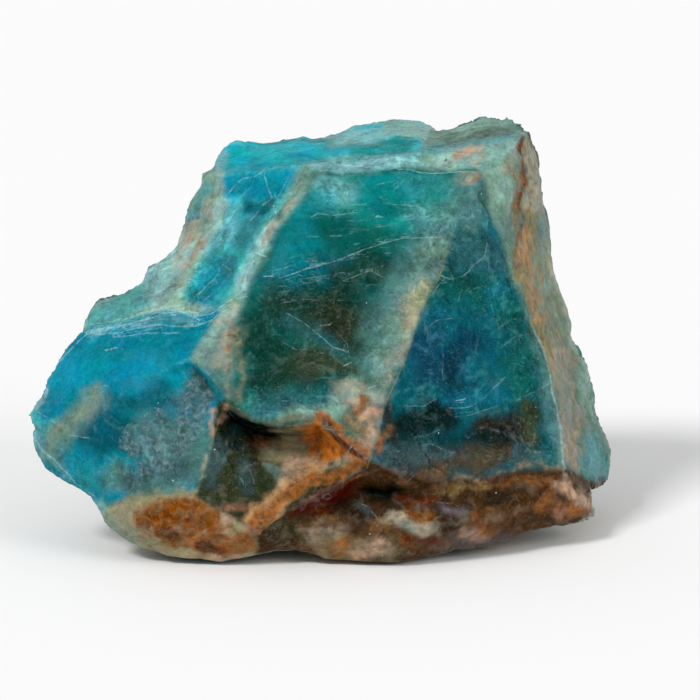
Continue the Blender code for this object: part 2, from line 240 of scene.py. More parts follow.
def chip_height(size, tilt):
    """Flat chips of that size: each cell has a plane of its own tilt, and the lowest near one shows."""
    result = np.zeros(len(points))
    for i, point in enumerate(points / size):
        at = Vector(point)
        middles = noise.voronoi(at)[1][:3]
        result[i] = min((at - middle).dot(noise.cell_vector(middle * 7.0)) for middle in middles)
    return (result - result.mean()) * tilt * size


hidden = 1.0 - smooth_step(-0.55, -0.15, normals @ TO_EYE)  # the far side gets larger chips too
chips = chip_height(4.6, 0.045) + chip_height(1.9, 0.035)
chips += hidden * (chip_height(11.0, 0.085) + chip_height(5.4, 0.06))
show("chips in mm", chips)

# %% Ripples, steps and crumbs
RIPPLES = [
    # right, up, radius, ripple length, height
    (17.5, 41.0, 16.0, 1.9, 0.04),
    (9.0, 41.0, 12.0, 2.3, 0.04),
    (24.0, 6.0, 12.0, 1.7, 0.05),
]
ripples = np.zeros(len(points))
bend = noise_at(5.0, 1)
for x, y, radius, length, tall in RIPPLES:
    far = np.hypot(right - x, up - y)
    phase = (far / length + 0.8 * bend) % 1.0
    ripples += tall * (phase * phase - 0.3) * (1.0 - smooth_step(0.5 * radius, radius, far))

crumbs = 0.06 * noise_at(1.9, 2) + 0.035 * noise_at(0.8, 3)
STEP_HEIGHT, STEP_RISE = 0.11, 0.12
step_field = 2.2 * noise_at(6.5, 4) + 0.7 * noise_at(2.4, 5)
part_step = step_field - np.floor(step_field)
steps = STEP_HEIGHT * (smooth_step(0.0, STEP_RISE, part_step) - part_step)
glassy_top = masks["broad"] * smooth_step(26.0, 32.0, up) * (1.0 - smooth_step(7.0, 12.0, right))
glassy_swell = masks["swell"] * smooth_step(15.0, 19.0, up)
clean_break = np.clip(glassy_top + glassy_swell, 0.0, 1.0) * facing
CALM = 0.65  # the share of the fracture that a glassy face goes without
height = (chips + ripples + steps + crumbs) * (1.0 - CALM * clean_break)
worn = smooth_step(0.05, 1.2, points[:, 2])  # nothing moves at the foot
show("fracture height in mm", height * worn)
moved = points + normals * (height * worn)[:, None]
stone.data.vertices.foreach_set("co", (moved * MM).astype(np.float32).ravel())
stone.data.update()

# %% [markdown]
# ## Edges and hollows
# A chipped edge scatters light and looks frosted, and a hollow gets painted shade. Both follow from the bend
# of the surface: how far a vertex stands out of the smoothed surface around it, along its normal. The
# Geometry node's Pointiness does nearly this, but over one edge only, while these marks are half a
# millimetre wide.

# %% Bend of the surface
edges = np.zeros(len(stone.data.edges) * 2, np.int32)
stone.data.edges.foreach_get("vertices", edges)
first, second = edges.reshape(-1, 2).T
count = np.bincount(first, minlength=len(points)) + np.bincount(second, minlength=len(points))


def neighbour_mean(values):
    total = np.bincount(first, values[second], len(points)) + np.bincount(second, values[first], len(points))
    return total / count


def smoothed(values, rounds):
    for _ in range(rounds):
        values = 0.5 * values + 0.5 * neighbour_mean(values)
    return values


BEND_ROUNDS = 6
smoother = np.stack([smoothed(moved[:, axis], BEND_ROUNDS) for axis in range(3)], axis=1)
bend_out = ((moved - smoother) * mesh_array(stone.data.vertices, "normal")).sum(axis=1)
show("bend of the surface in mm", bend_out)

# %% [markdown]
# ## Tones
# Each tone is named for where it is seen on the stone, and written as the colour it has in plain light.
# A few also paint light and shade: glint for painted glints, the black for painted shadow, and slab
# turquoise and bright teal in places for a painted glow where the stone is thin.

# %% Tones
TONES = {
    # the clear crystal
    "slab turquoise": "02adbb", "azure": "058ca8", "lagoon": "027e94", "petrol": "025866", "navy": "013c56",
    "sea": "0a8080", "reef": "02767e", "teal": "2c8a90", "bright teal": "38a4ac", "pool": "026078",
    "bottle": "025a54", "pine": "0e3226", "moss": "2a3018", "olive": "3c4424", "ink": "011c1e",
    "dusk": "285a62", "slate": "3a4c50",
    # the crystal under veils, and the white of painted glints
    "frosted teal": "5c9ca2", "grey teal": "4c7876", "grey green": "6e8c82", "pale green": "8caea2",
    "mist": "88b8bc", "frost": "b4d0d2", "veil": "7cacb0", "glint": "e6efee", "lilac": "6e686c",
    # the crust and the stains, and a black for pits and painted shadow
    "beige": "b4a890", "cream": "c4b496", "sand": "918a6c", "tan": "b08a60", "pink": "b89880",
    "rose": "9c6c52", "ochre": "94824e", "amber": "7e4400", "orange": "985e2a", "ember": "c07020",
    "clay": "7c5834", "rust": "622806", "maroon": "4c0a02", "bark": "482a10", "brown": "44341c",
    "umber": "2a1606", "pit and shadow black": "030201",
}


def linear(code):
    """A colour written as sRGB hex, as the shader's linear values."""
    parts = [int(code[i : i + 2], 16) / 255 for i in (0, 2, 4)]
    return np.array([c / 12.92 if c <= 0.04045 else ((c + 0.055) / 1.055) ** 2.4 for c in parts])


tones = {name: linear(code) for name, code in TONES.items()}
print(len(tones), "tones")

# %% [markdown]
# ## Under the strokes
# Two layers make the colour. The crystal is the glassy body: turquoise, deep blue, bottle green. The film
# is what lies on it and in its cracks: beige crust, ochre, rust. Before the strokes the whole stone gets a
# cloudy ground of both, so that the far side and the underside, which the photo doesn't show, are as
# finished as the front.

# %% The ground colours
LAYER_LEAN = np.array(Vector((0.22, -0.30, 1.0)).normalized())  # square to the growth layers


def banded_noise(size, seed):
    """Noise drawn out along the crystal's growth layers to three times its height."""
    across = (points @ LAYER_LEAN)[:, None] * LAYER_LEAN
    drawn_out = (points - across) / 3.0 + across
    return np.array([noise.noise(p) for p in drawn_out / size + SEED_STEP * seed])


def blend(base, tone, amount):
    """The base colours with that share of the tone at each vertex."""
    return base + (tones[tone] - base) * np.clip(amount, 0.0, 1.0)[:, None]


low_down = 1.0 - smooth_step(3.0, 13.0, points[:, 2])
bands, thin_bands = banded_noise(4.0, 18), banded_noise(1.8, 19)
GROUND = [
    # tone, size, seed, where it starts, how much the bands shape it
    ("lagoon", 19.0, 11, -0.05, 0.3),
    ("navy", 17.0, 12, 0.10, 0.3),
    ("bottle", 16.0, 14, 0.05, 0.4),
    ("teal", 13.0, 15, 0.10, 0.8),
    ("grey teal", 12.0, 26, 0.15, 0.9),
    ("pale green", 13.0, 27, 0.30, 0.9),
]
crystal = np.tile(tones["petrol"], (len(points), 1))
for tone, size, seed, start, share in GROUND:
    field = noise_at(size, seed) + share * (0.6 * bands + 0.4 * thin_bands)
    crystal = blend(crystal, tone, smooth_step(start, start + 0.35, field))
FILM_GROUND = [
    # tone, size, seed, where it starts
    ("beige", 9.0, 20, 0.0),
    ("tan", 8.0, 13, 0.1),
    ("orange", 7.0, 16, 0.2),
    ("umber", 6.0, 24, 0.3),
]
film_tone = np.tile(tones["sand"], (len(points), 1))
for tone, size, seed, start in FILM_GROUND:
    film_tone = blend(film_tone, tone, smooth_step(start, start + 0.35, noise_at(size, seed)))
film = 0.85 * smooth_step(0.05, 0.65, noise_at(15.0, 17) + 0.5 * low_down + 0.5 * bands)
seam_lines = smooth_step(0.035, 0.0, np.abs(noise_at(12.0, 28) + 0.25 * thin_bands))
seams = seam_lines * smooth_step(-0.1, 0.3, noise_at(7.0, 29))
film_tone = blend(film_tone, "rust", seams)
film = np.maximum(film, 0.8 * seams)
veil = 0.5 + 0.5 * noise_at(6.0, 25)
show("film of the ground", film)

# %% [markdown]
# ## The strokes
# A stroke is a tone drawn along a few points, with a half width and a soft rim, inside one face. Noise
# bends its rim, as a cloud in the crystal has no straight side. The order matters: later ones lie on top.

# %% Brush
rim_noise = 0.8 * noise_at(3.6, 21) + 0.5 * noise_at(1.4, 22)
shake = [0.75 * noise_at(2.6, seed) + 0.40 * noise_at(1.0, seed + 1) for seed in (31, 41)]
show("how far a rim is pushed, in shares of its softness", 0.35 * rim_noise)


def stroke_weight(path, half_width, rim, face):
    """1 along the path, falling to 0 over the rim, only inside the named face."""
    far = distance_to(path, shake) + rim_noise * min(rim, 2.2) * 0.35
    return (1.0 - smooth_step(half_width - rim / 2, half_width + rim / 2, far)) * masks[face] * facing


def paint_crystal(face, tone, path, half_width, rim, amount):
    global crystal
    crystal = blend(crystal, tone, amount * stroke_weight(path, half_width, rim, face))


def paint_film(face, tone, path, half_width, rim, amount):
    global film, film_tone
    weight = stroke_weight(path, half_width, rim, face)
    film_tone = blend(film_tone, tone, np.clip(1.8 * weight, 0.0, 1.0))
    film = film + (np.maximum(film, amount) - film) * weight


def paint_veil(face, path, half_width, rim, amount):
    global veil
    weight = stroke_weight(path, half_width, rim, face)
    veil = veil + (amount - veil) * weight


# %% The photographed side starts clean, each face in its own tone
clean_front = facing * smooth_step(18.9, 17.7, seen(points)[:, 2])  # not the far part of the top
film = film * (1.0 - clean_front)
veil = veil + (0.35 - veil) * clean_front
for face, tone in {
    # slab turquoise is partly the slab's own colour, partly a painted glow of light through the thin slab
    "slab": "slab turquoise", "block": "grey green", "brow": "frosted teal", "broad": "bottle",
    "band": "grey teal", "blue": "petrol", "side": "grey green", "gully": "bright teal",
    "shoulder": "pale green", "swell": "lagoon", "lobe": "sand", "nook": "moss", "toe": "bark",
}.items():
    crystal = blend(crystal, tone, wide_masks[face] * facing)
show("the clean front", clean_front)

# %% Crystal strokes
CRYSTAL_STROKES = [
    # face, tone, path, half width, rim, amount
    # the slab and the block along the top
    ("slab", "mist", [(-10.6, 41.0), (-10.0, 42.2)], 0.7, 0.8, 0.7),
    ("slab", "azure", [(-7.5, 40.6), (-4, 41.0), (-1, 41.6)], 0.5, 0.8, 0.6),
    ("slab", "azure", [(-1, 44.2), (3, 45.0), (7, 46.2)], 0.5, 0.6, 0.7),
    ("slab", "grey teal", [(1.2, 43.4), (3.2, 43.0)], 1.0, 1.2, 0.7),
    ("slab", "mist", [(2.0, 44.0), (4.5, 43.8), (8.5, 44.6), (11.2, 44.4)], 0.9, 1.6, 0.75),
    ("slab", "sea", [(4.0, 42.6), (9.6, 42.9)], 0.5, 0.9, 0.95),
    ("slab", "pale green", [(8.0, 45.0), (11.6, 44.4)], 0.8, 1.2, 0.7),
    ("block", "olive", [(13.5, 43.4), (17, 43.9), (20, 44.6)], 0.25, 0.7, 0.6),
    ("block", "pale green", [(12.6, 44.6), (16, 45.4), (20, 46.4)], 0.5, 0.9, 0.7),
    ("brow", "azure", [(0.2, 41.2), (3, 41.5)], 0.3, 0.7, 0.4),
    ("brow", "mist", [(-1, 40.7), (3.0, 41.0), (8.0, 41.5), (12, 41.9)], 0.5, 1.0, 0.7),
    ("brow", "grey green", [(11.5, 41.4), (14, 41.4)], 1.0, 1.4, 0.8),
    ("brow", "pale green", [(13.5, 41.8), (21, 43)], 1.6, 1.6, 0.8),
    # the broad face, from the top down
    ("broad", "sea", [(4.0, 38.6), (11, 38.2)], 2.4, 2.6, 1.0),
    ("broad", "teal", [(10.5, 38.9), (14, 38.6)], 1.6, 2.2, 0.8),
    ("broad", "frosted teal", [(0.4, 39.6), (2.2, 39.0), (3.2, 38.2)], 1.2, 1.4, 0.9),
    ("broad", "teal", [(0, 37.4), (1.6, 36.8)], 1.2, 1.6, 0.85),
    ("broad", "reef", [(-1.6, 35.2), (-1.0, 33.0), (-3.6, 30.4)], 2.0, 2.4, 1.0),
    ("broad", "bottle", [(2.2, 34.2), (5.2, 33.4)], 2.2, 2.2, 1.0),
    ("broad", "sea", [(5.0, 36.0), (8.6, 34.4)], 1.0, 1.8, 0.6),
    ("broad", "petrol", [(-4.6, 29.0), (-1, 29.0), (2, 30.4)], 1.6, 2.2, 0.8),
    ("broad", "pine", [(2.8, 29.2), (6.4, 30.4)], 1.6, 2.0, 0.9),
    ("broad", "frosted teal", [(10.4, 35.4), (13.4, 35.4)], 1.3, 2.0, 0.6),
    ("broad", "pine", [(-3.5, 26.6), (3, 26.0), (5, 24)], 2.4, 2.8, 1.0),
    ("broad", "pine", [(-5.6, 23.5), (-4.0, 20.0)], 1.8, 2.4, 0.9),
    ("broad", "moss", [(-0.6, 24.4), (1.6, 25.6), (3.6, 24.2)], 1.4, 2.8, 0.6),
    ("broad", "moss", [(-1.4, 20.0), (1.2, 21.0), (4.0, 20.0)], 1.8, 3.2, 0.9),
    ("broad", "umber", [(1.0, 24.2), (2.6, 25.2), (3.2, 23.0)], 0.5, 2.2, 0.4),
    ("broad", "dusk", [(-3.0, 25.4), (0, 23.4), (2.6, 21.8)], 0.7, 1.4, 0.6),
    ("broad", "pine", [(-6.4, 18.6), (-3.6, 17.8)], 1.5, 2.0, 0.9),
    ("broad", "dusk", [(-5.4, 15.9), (-1, 16.2), (2.6, 17.0)], 1.1, 1.8, 0.9),
    ("broad", "grey green", [(-3.0, 15.0), (1.4, 15.3), (4.4, 18.6)], 0.8, 1.4, 0.9),
    # the grey veil beside the spine
    ("broad", "grey teal",
     [(15.4, 38.2), (12.6, 32.4), (9.6, 29.6), (7.6, 25.0), (6.4, 20.8)], 2.0, 2.8, 0.85),
    ("broad", "grey green", [(12.6, 31.5), (10.2, 27.4), (8.0, 21.6), (6.2, 17.4)], 1.3, 2.0, 0.95),
    ("broad", "sand", [(11.2, 28.4), (9.4, 24.6)], 0.8, 1.6, 0.7),
    # the pale band and the gully to its left
    ("band", "grey green", [(-1.6, 39.6), (-2.4, 38.0)], 1.0, 1.4, 0.8),
    ("band", "dusk", [(-4.0, 35.4), (-6.0, 34.4)], 0.8, 1.4, 0.6),
    ("band", "pale green", [(-2.2, 38.4), (-4.8, 34.0), (-7.6, 28.6), (-9.6, 24.6)], 0.8, 1.8, 0.35),
    ("band", "mist", [(-4.4, 34.4), (-6.4, 31.0), (-7.4, 28.6)], 0.8, 1.4, 0.7),
    ("band", "pale green", [(-9.0, 26.0), (-10.6, 23.8), (-12.4, 21.2)], 1.0, 1.4, 0.85),
    ("band", "grey green", [(-9.6, 22.6), (-10.4, 20.4)], 0.8, 1.2, 0.8),
    ("gully", "azure", [(-8.4, 39.2), (-3.2, 39.4)], 1.4, 1.4, 1.0),
    ("gully", "lagoon", [(-5.6, 38.6), (-3.6, 38.0)], 0.9, 1.2, 0.9),
    ("gully", "petrol", [(-7.2, 37.0), (-5.0, 36.4)], 0.9, 1.2, 0.9),
    ("gully", "dusk", [(-6.4, 34.8), (-7.6, 33.2)], 0.9, 1.4, 0.7),
    ("gully", "frosted teal", [(-9.4, 36.6), (-9.0, 34.4), (-11.0, 31.4)], 0.9, 1.4, 0.7),
    ("gully", "lagoon", [(-9.8, 30.2), (-12.0, 27.6)], 1.5, 1.8, 0.8),
    ("gully", "dusk", [(-8.4, 31.4), (-9.2, 29.6)], 0.6, 1.0, 0.7),
    # the pale shoulder
    ("shoulder", "grey green", [(-10.6, 39.0), (-12.4, 35.0)], 1.6, 2.0, 0.8),
    ("shoulder", "frosted teal", [(-11.4, 38.4), (-12.4, 35.6)], 0.9, 1.2, 0.9),
    ("shoulder", "mist", [(-14.0, 31.0), (-17.6, 28.8)], 1.8, 2.4, 0.8),
    ("shoulder", "teal", [(-18.6, 27.2), (-22.8, 25.0)], 1.4, 2.0, 0.8),
    ("shoulder", "grey green", [(-13.8, 28.8), (-13.0, 27.0)], 1.0, 1.6, 0.8),
    # the blue triangle
    ("blue", "grey teal", [(16.6, 38.0), (16.2, 35.0)], 1.2, 2.0, 0.9),
    ("blue", "dusk", [(14.6, 32.4), (17.8, 31.4)], 2.0, 2.6, 0.9),
    ("blue", "bottle", [(13.0, 29.4), (16.6, 27.6)], 2.2, 2.6, 0.9),
    ("blue", "ink", [(13.8, 30.6), (15.4, 29.0)], 0.9, 2.0, 0.7),
    ("blue", "pool", [(14.6, 25.4), (16.4, 21.4), (15.4, 18.4)], 1.5, 2.6, 0.7),
    ("blue", "navy", [(11.2, 22.8), (12.4, 19.2), (15.6, 22.6)], 1.9, 2.8, 1.0),
    ("blue", "pool", [(18.6, 27.4), (19.0, 25.4)], 0.9, 1.4, 0.8),
    ("blue", "bottle", [(20.0, 26.0), (21.4, 21.4), (21.2, 17.6)], 1.5, 2.4, 0.95),
    ("blue", "grey teal", [(20.6, 29.2), (21.2, 26.4)], 0.5, 1.0, 0.7),
    ("blue", "grey teal", [(22.6, 22.6), (23.6, 19.6), (24.2, 16.4)], 0.8, 1.4, 0.9),
    ("blue", "petrol", [(9.2, 17.8), (11.8, 16.8)], 1.0, 1.4, 0.9),
    ("blue", "pool", [(13.6, 17.2), (18.4, 17.2)], 0.9, 1.1, 1.0),
    ("blue", "ink", [(9.8, 14.5), (13.4, 14.7)], 1.4, 1.6, 1.0),
    ("blue", "ink", [(12.2, 16.2), (13.0, 15.6)], 0.5, 0.7, 0.9),
    ("blue", "petrol", [(14.2, 15.4), (16.2, 14.8)], 0.6, 1.2, 0.6),
    ("blue", "umber", [(16.8, 13.6), (19.6, 14.4), (18.6, 12.6)], 1.2, 2.8, 0.9),
    ("blue", "olive", [(21.6, 15.6), (22.2, 12.4)], 1.2, 1.8, 0.9),
    ("blue", "slate", [(17.0, 10.5), (22.2, 10.8)], 0.9, 1.6, 1.0),
    ("blue", "umber", [(17.2, 13.6), (19.6, 13.4), (18.8, 12.2)], 1.2, 2.2, 1.0),
    ("blue", "grey teal", [(23.8, 15.0), (24.6, 12.0)], 0.6, 1.6, 0.7),
    ("blue", "ink", [(8.8, 12.4), (15.0, 12.2), (19.4, 12.8)], 1.4, 2.4, 0.75),
    ("blue", "slate", [(7.6, 10.9), (11, 10.6), (16.4, 10.4)], 1.4, 2.0, 1.0),
    ("blue", "slate", [(7.0, 10.8), (9.6, 10.4)], 0.9, 1.2, 0.9),
    ("blue", "brown", [(11.0, 9.6), (18.0, 10.0)], 0.8, 1.8, 0.8),
    ("blue", "umber", [(8.4, 9.8), (11.4, 9.6)], 0.6, 1.6, 0.7),
    ("blue", "umber", [(12.6, 11.6), (14.6, 11.2)], 0.4, 1.4, 0.7),
    ("blue", "brown", [(15.6, 11.6), (19.4, 11.4)], 0.5, 1.5, 0.8),
    ("blue", "grey teal", [(22.4, 10.6), (24.8, 10.6)], 0.6, 1.6, 0.5),
    ("blue", "umber", [(7.6, 15.4), (8.0, 13.2)], 0.6, 1.0, 0.8),
    ("blue", "umber", [(7.6, 17.4), (7.1, 14.8), (6.6, 12.4)], 0.5, 1.2, 0.7),
    # the right side
    ("side", "pale green", [(18.4, 39.8), (19.6, 37.6)], 1.4, 1.6, 0.9),
    ("side", "pale green", [(24.6, 30.0), (26.6, 23.0), (28.6, 16.0)], 0.8, 1.4, 0.7),
    ("side", "frosted teal", [(28.0, 12.6), (29.0, 9.6)], 1.2, 1.6, 0.8),
    # the blue swell
    ("swell", "azure", [(-27.0, 18.8), (-22, 19.6), (-14, 20.8)], 1.7, 2.0, 0.9),
    ("swell", "lagoon", [(-23.0, 22.0), (-15.0, 24.0)], 1.2, 1.6, 0.9),
    ("swell", "petrol", [(-24.0, 15.4), (-20.6, 16.2), (-15.6, 17.6)], 1.0, 1.4, 0.85),
    ("swell", "petrol", [(-23.0, 13.6), (-20.4, 12.8)], 2.1, 2.6, 1.0),
    ("swell", "teal", [(-26.4, 10.4), (-23.4, 9.0)], 1.0, 1.4, 0.8),
    ("swell", "lagoon", [(-24.6, 9.8), (-22.4, 9.2)], 1.0, 1.4, 0.7),
    ("swell", "mist", [(-28.8, 16.4), (-28.2, 17.2)], 0.7, 0.8, 0.8),
    # a painted glow of light through the thin left tip, over the crystal's own colour
    ("swell", "bright teal", [(-29.0, 14.6), (-27.8, 14.0)], 1.0, 1.4, 0.9),
    ("swell", "grey green", [(-27.6, 11.8), (-25.4, 14.2), (-23.2, 16.8)], 1.4, 2.0, 0.85),
    ("swell", "grey teal", [(-16.6, 13.6), (-13.0, 11.4), (-15.0, 9.4)], 2.2, 2.6, 0.85),
    ("swell", "slate", [(-14.0, 16.6), (-11.4, 17.4)], 1.0, 1.4, 0.7),
    ("swell", "ink", [(-11.6, 19.2), (-10.6, 18.4)], 0.7, 0.8, 0.9),
    ("swell", "grey teal", [(-20.8, 8.6), (-16, 7.6)], 1.3, 2.0, 0.9),
    ("swell", "slate", [(-19.6, 8.8), (-17.4, 7.4)], 0.8, 1.4, 0.6),
    ("swell", "slate", [(-18.6, 8.8), (-15.0, 9.4), (-12.2, 9.8)], 1.3, 2.2, 0.7),
    ("swell", "grey teal", [(-12.0, 14.6), (-11.6, 10.0)], 0.9, 1.6, 0.6),
    ("swell", "mist", [(-23.4, 23.9), (-18.4, 24.7), (-13.0, 25.2)], 0.25, 1.0, 0.6),
    ("swell", "mist", [(-29.6, 15.6), (-28.0, 11.6), (-25.6, 9.2)], 0.2, 0.8, 0.5),
    ("swell", "pale green", [(-24.0, 5.6), (-21.6, 4.2)], 1.2, 1.6, 0.6),
    ("lobe", "grey green", [(-22.4, 5.0), (-19.6, 2.6)], 1.1, 2.0, 0.7),
    # the hollow, with painted shadow under its lip
    ("nook", "pit and shadow black", [(-8.4, 14.5), (-6.0, 13.5), (-4.4, 13.0)], 1.3, 1.4, 1.0),
    ("nook", "ink", [(-8.0, 13.4), (-8.4, 11.4)], 0.7, 1.0, 0.8),
    ("nook", "umber", [(-6.8, 12.4), (-5.2, 11.8)], 0.9, 1.6, 0.85),
    ("nook", "umber", [(-5.6, 10.6), (-6.4, 9.6)], 0.4, 1.2, 0.6),
    ("nook", "slate", [(-10.0, 12.4), (-10.6, 8.4)], 0.7, 1.0, 0.8),
    ("nook", "slate", [(-7.6, 9.6), (-6.4, 7.4)], 0.7, 1.2, 0.7),
    ("nook", "sand", [(-4.0, 11.4), (-1.2, 11.6)], 1.5, 2.0, 0.9),
    ("nook", "grey green", [(-4.6, 9.6), (-3.0, 8.2)], 0.7, 1.2, 0.6),
    # the toe
    ("toe", "umber", [(3.6, 5.6), (4.6, 4.4)], 0.8, 1.8, 0.9),
    ("toe", "umber", [(0.0, 5.6), (5.0, 6.4), (9.0, 6.4)], 1.1, 2.0, 0.85),
    ("toe", "umber", [(10.0, 5.4), (15.0, 5.8)], 0.6, 1.6, 0.7),
    ("toe", "maroon", [(-1.6, 5.6), (0.8, 6.4), (3.4, 7.6)], 1.1, 1.6, 1.0),
    ("toe", "moss", [(-4.2, 3.6), (-1.6, 3.6)], 1, 2.1, 0.8),
    ("toe", "slate", [(4.6, 5.8), (5.6, 5.2)], 0.4, 1, 0.9),
    ("toe", "sand", [(0.6, 1.4), (7, 1.2)], 0.9, 2.4, 0.6),
    ("toe", "umber", [(12.6, 5.0), (14.2, 3.4)], 0.9, 2.1, 0.7),
    ("toe", "lilac", [(13.6, 5.6), (15.0, 5.0)], 0.5, 1.4, 0.9),
    ("toe", "grey green", [(9.4, 3.8), (11.0, 3.4)], 0.6, 1.6, 0.7),
    ("toe", "lilac", [(13.0, 1.8), (19.0, 2.4)], 0.8, 2.1, 0.7),
    # painted shadow under the sill of the blue triangle
    ("toe", "pit and shadow black", [(5.4, 7.3), (8.6, 7.0)], 1.0, 1.6, 1.0),
    ("toe", "umber", [(18.6, 6.8), (22.2, 6.9)], 0.9, 1.8, 1.0),
]
for face, tone, path, half_width, rim, amount in CRYSTAL_STROKES:
    paint_crystal(face, tone, path, half_width, rim, amount)
print(len(CRYSTAL_STROKES), "crystal strokes")

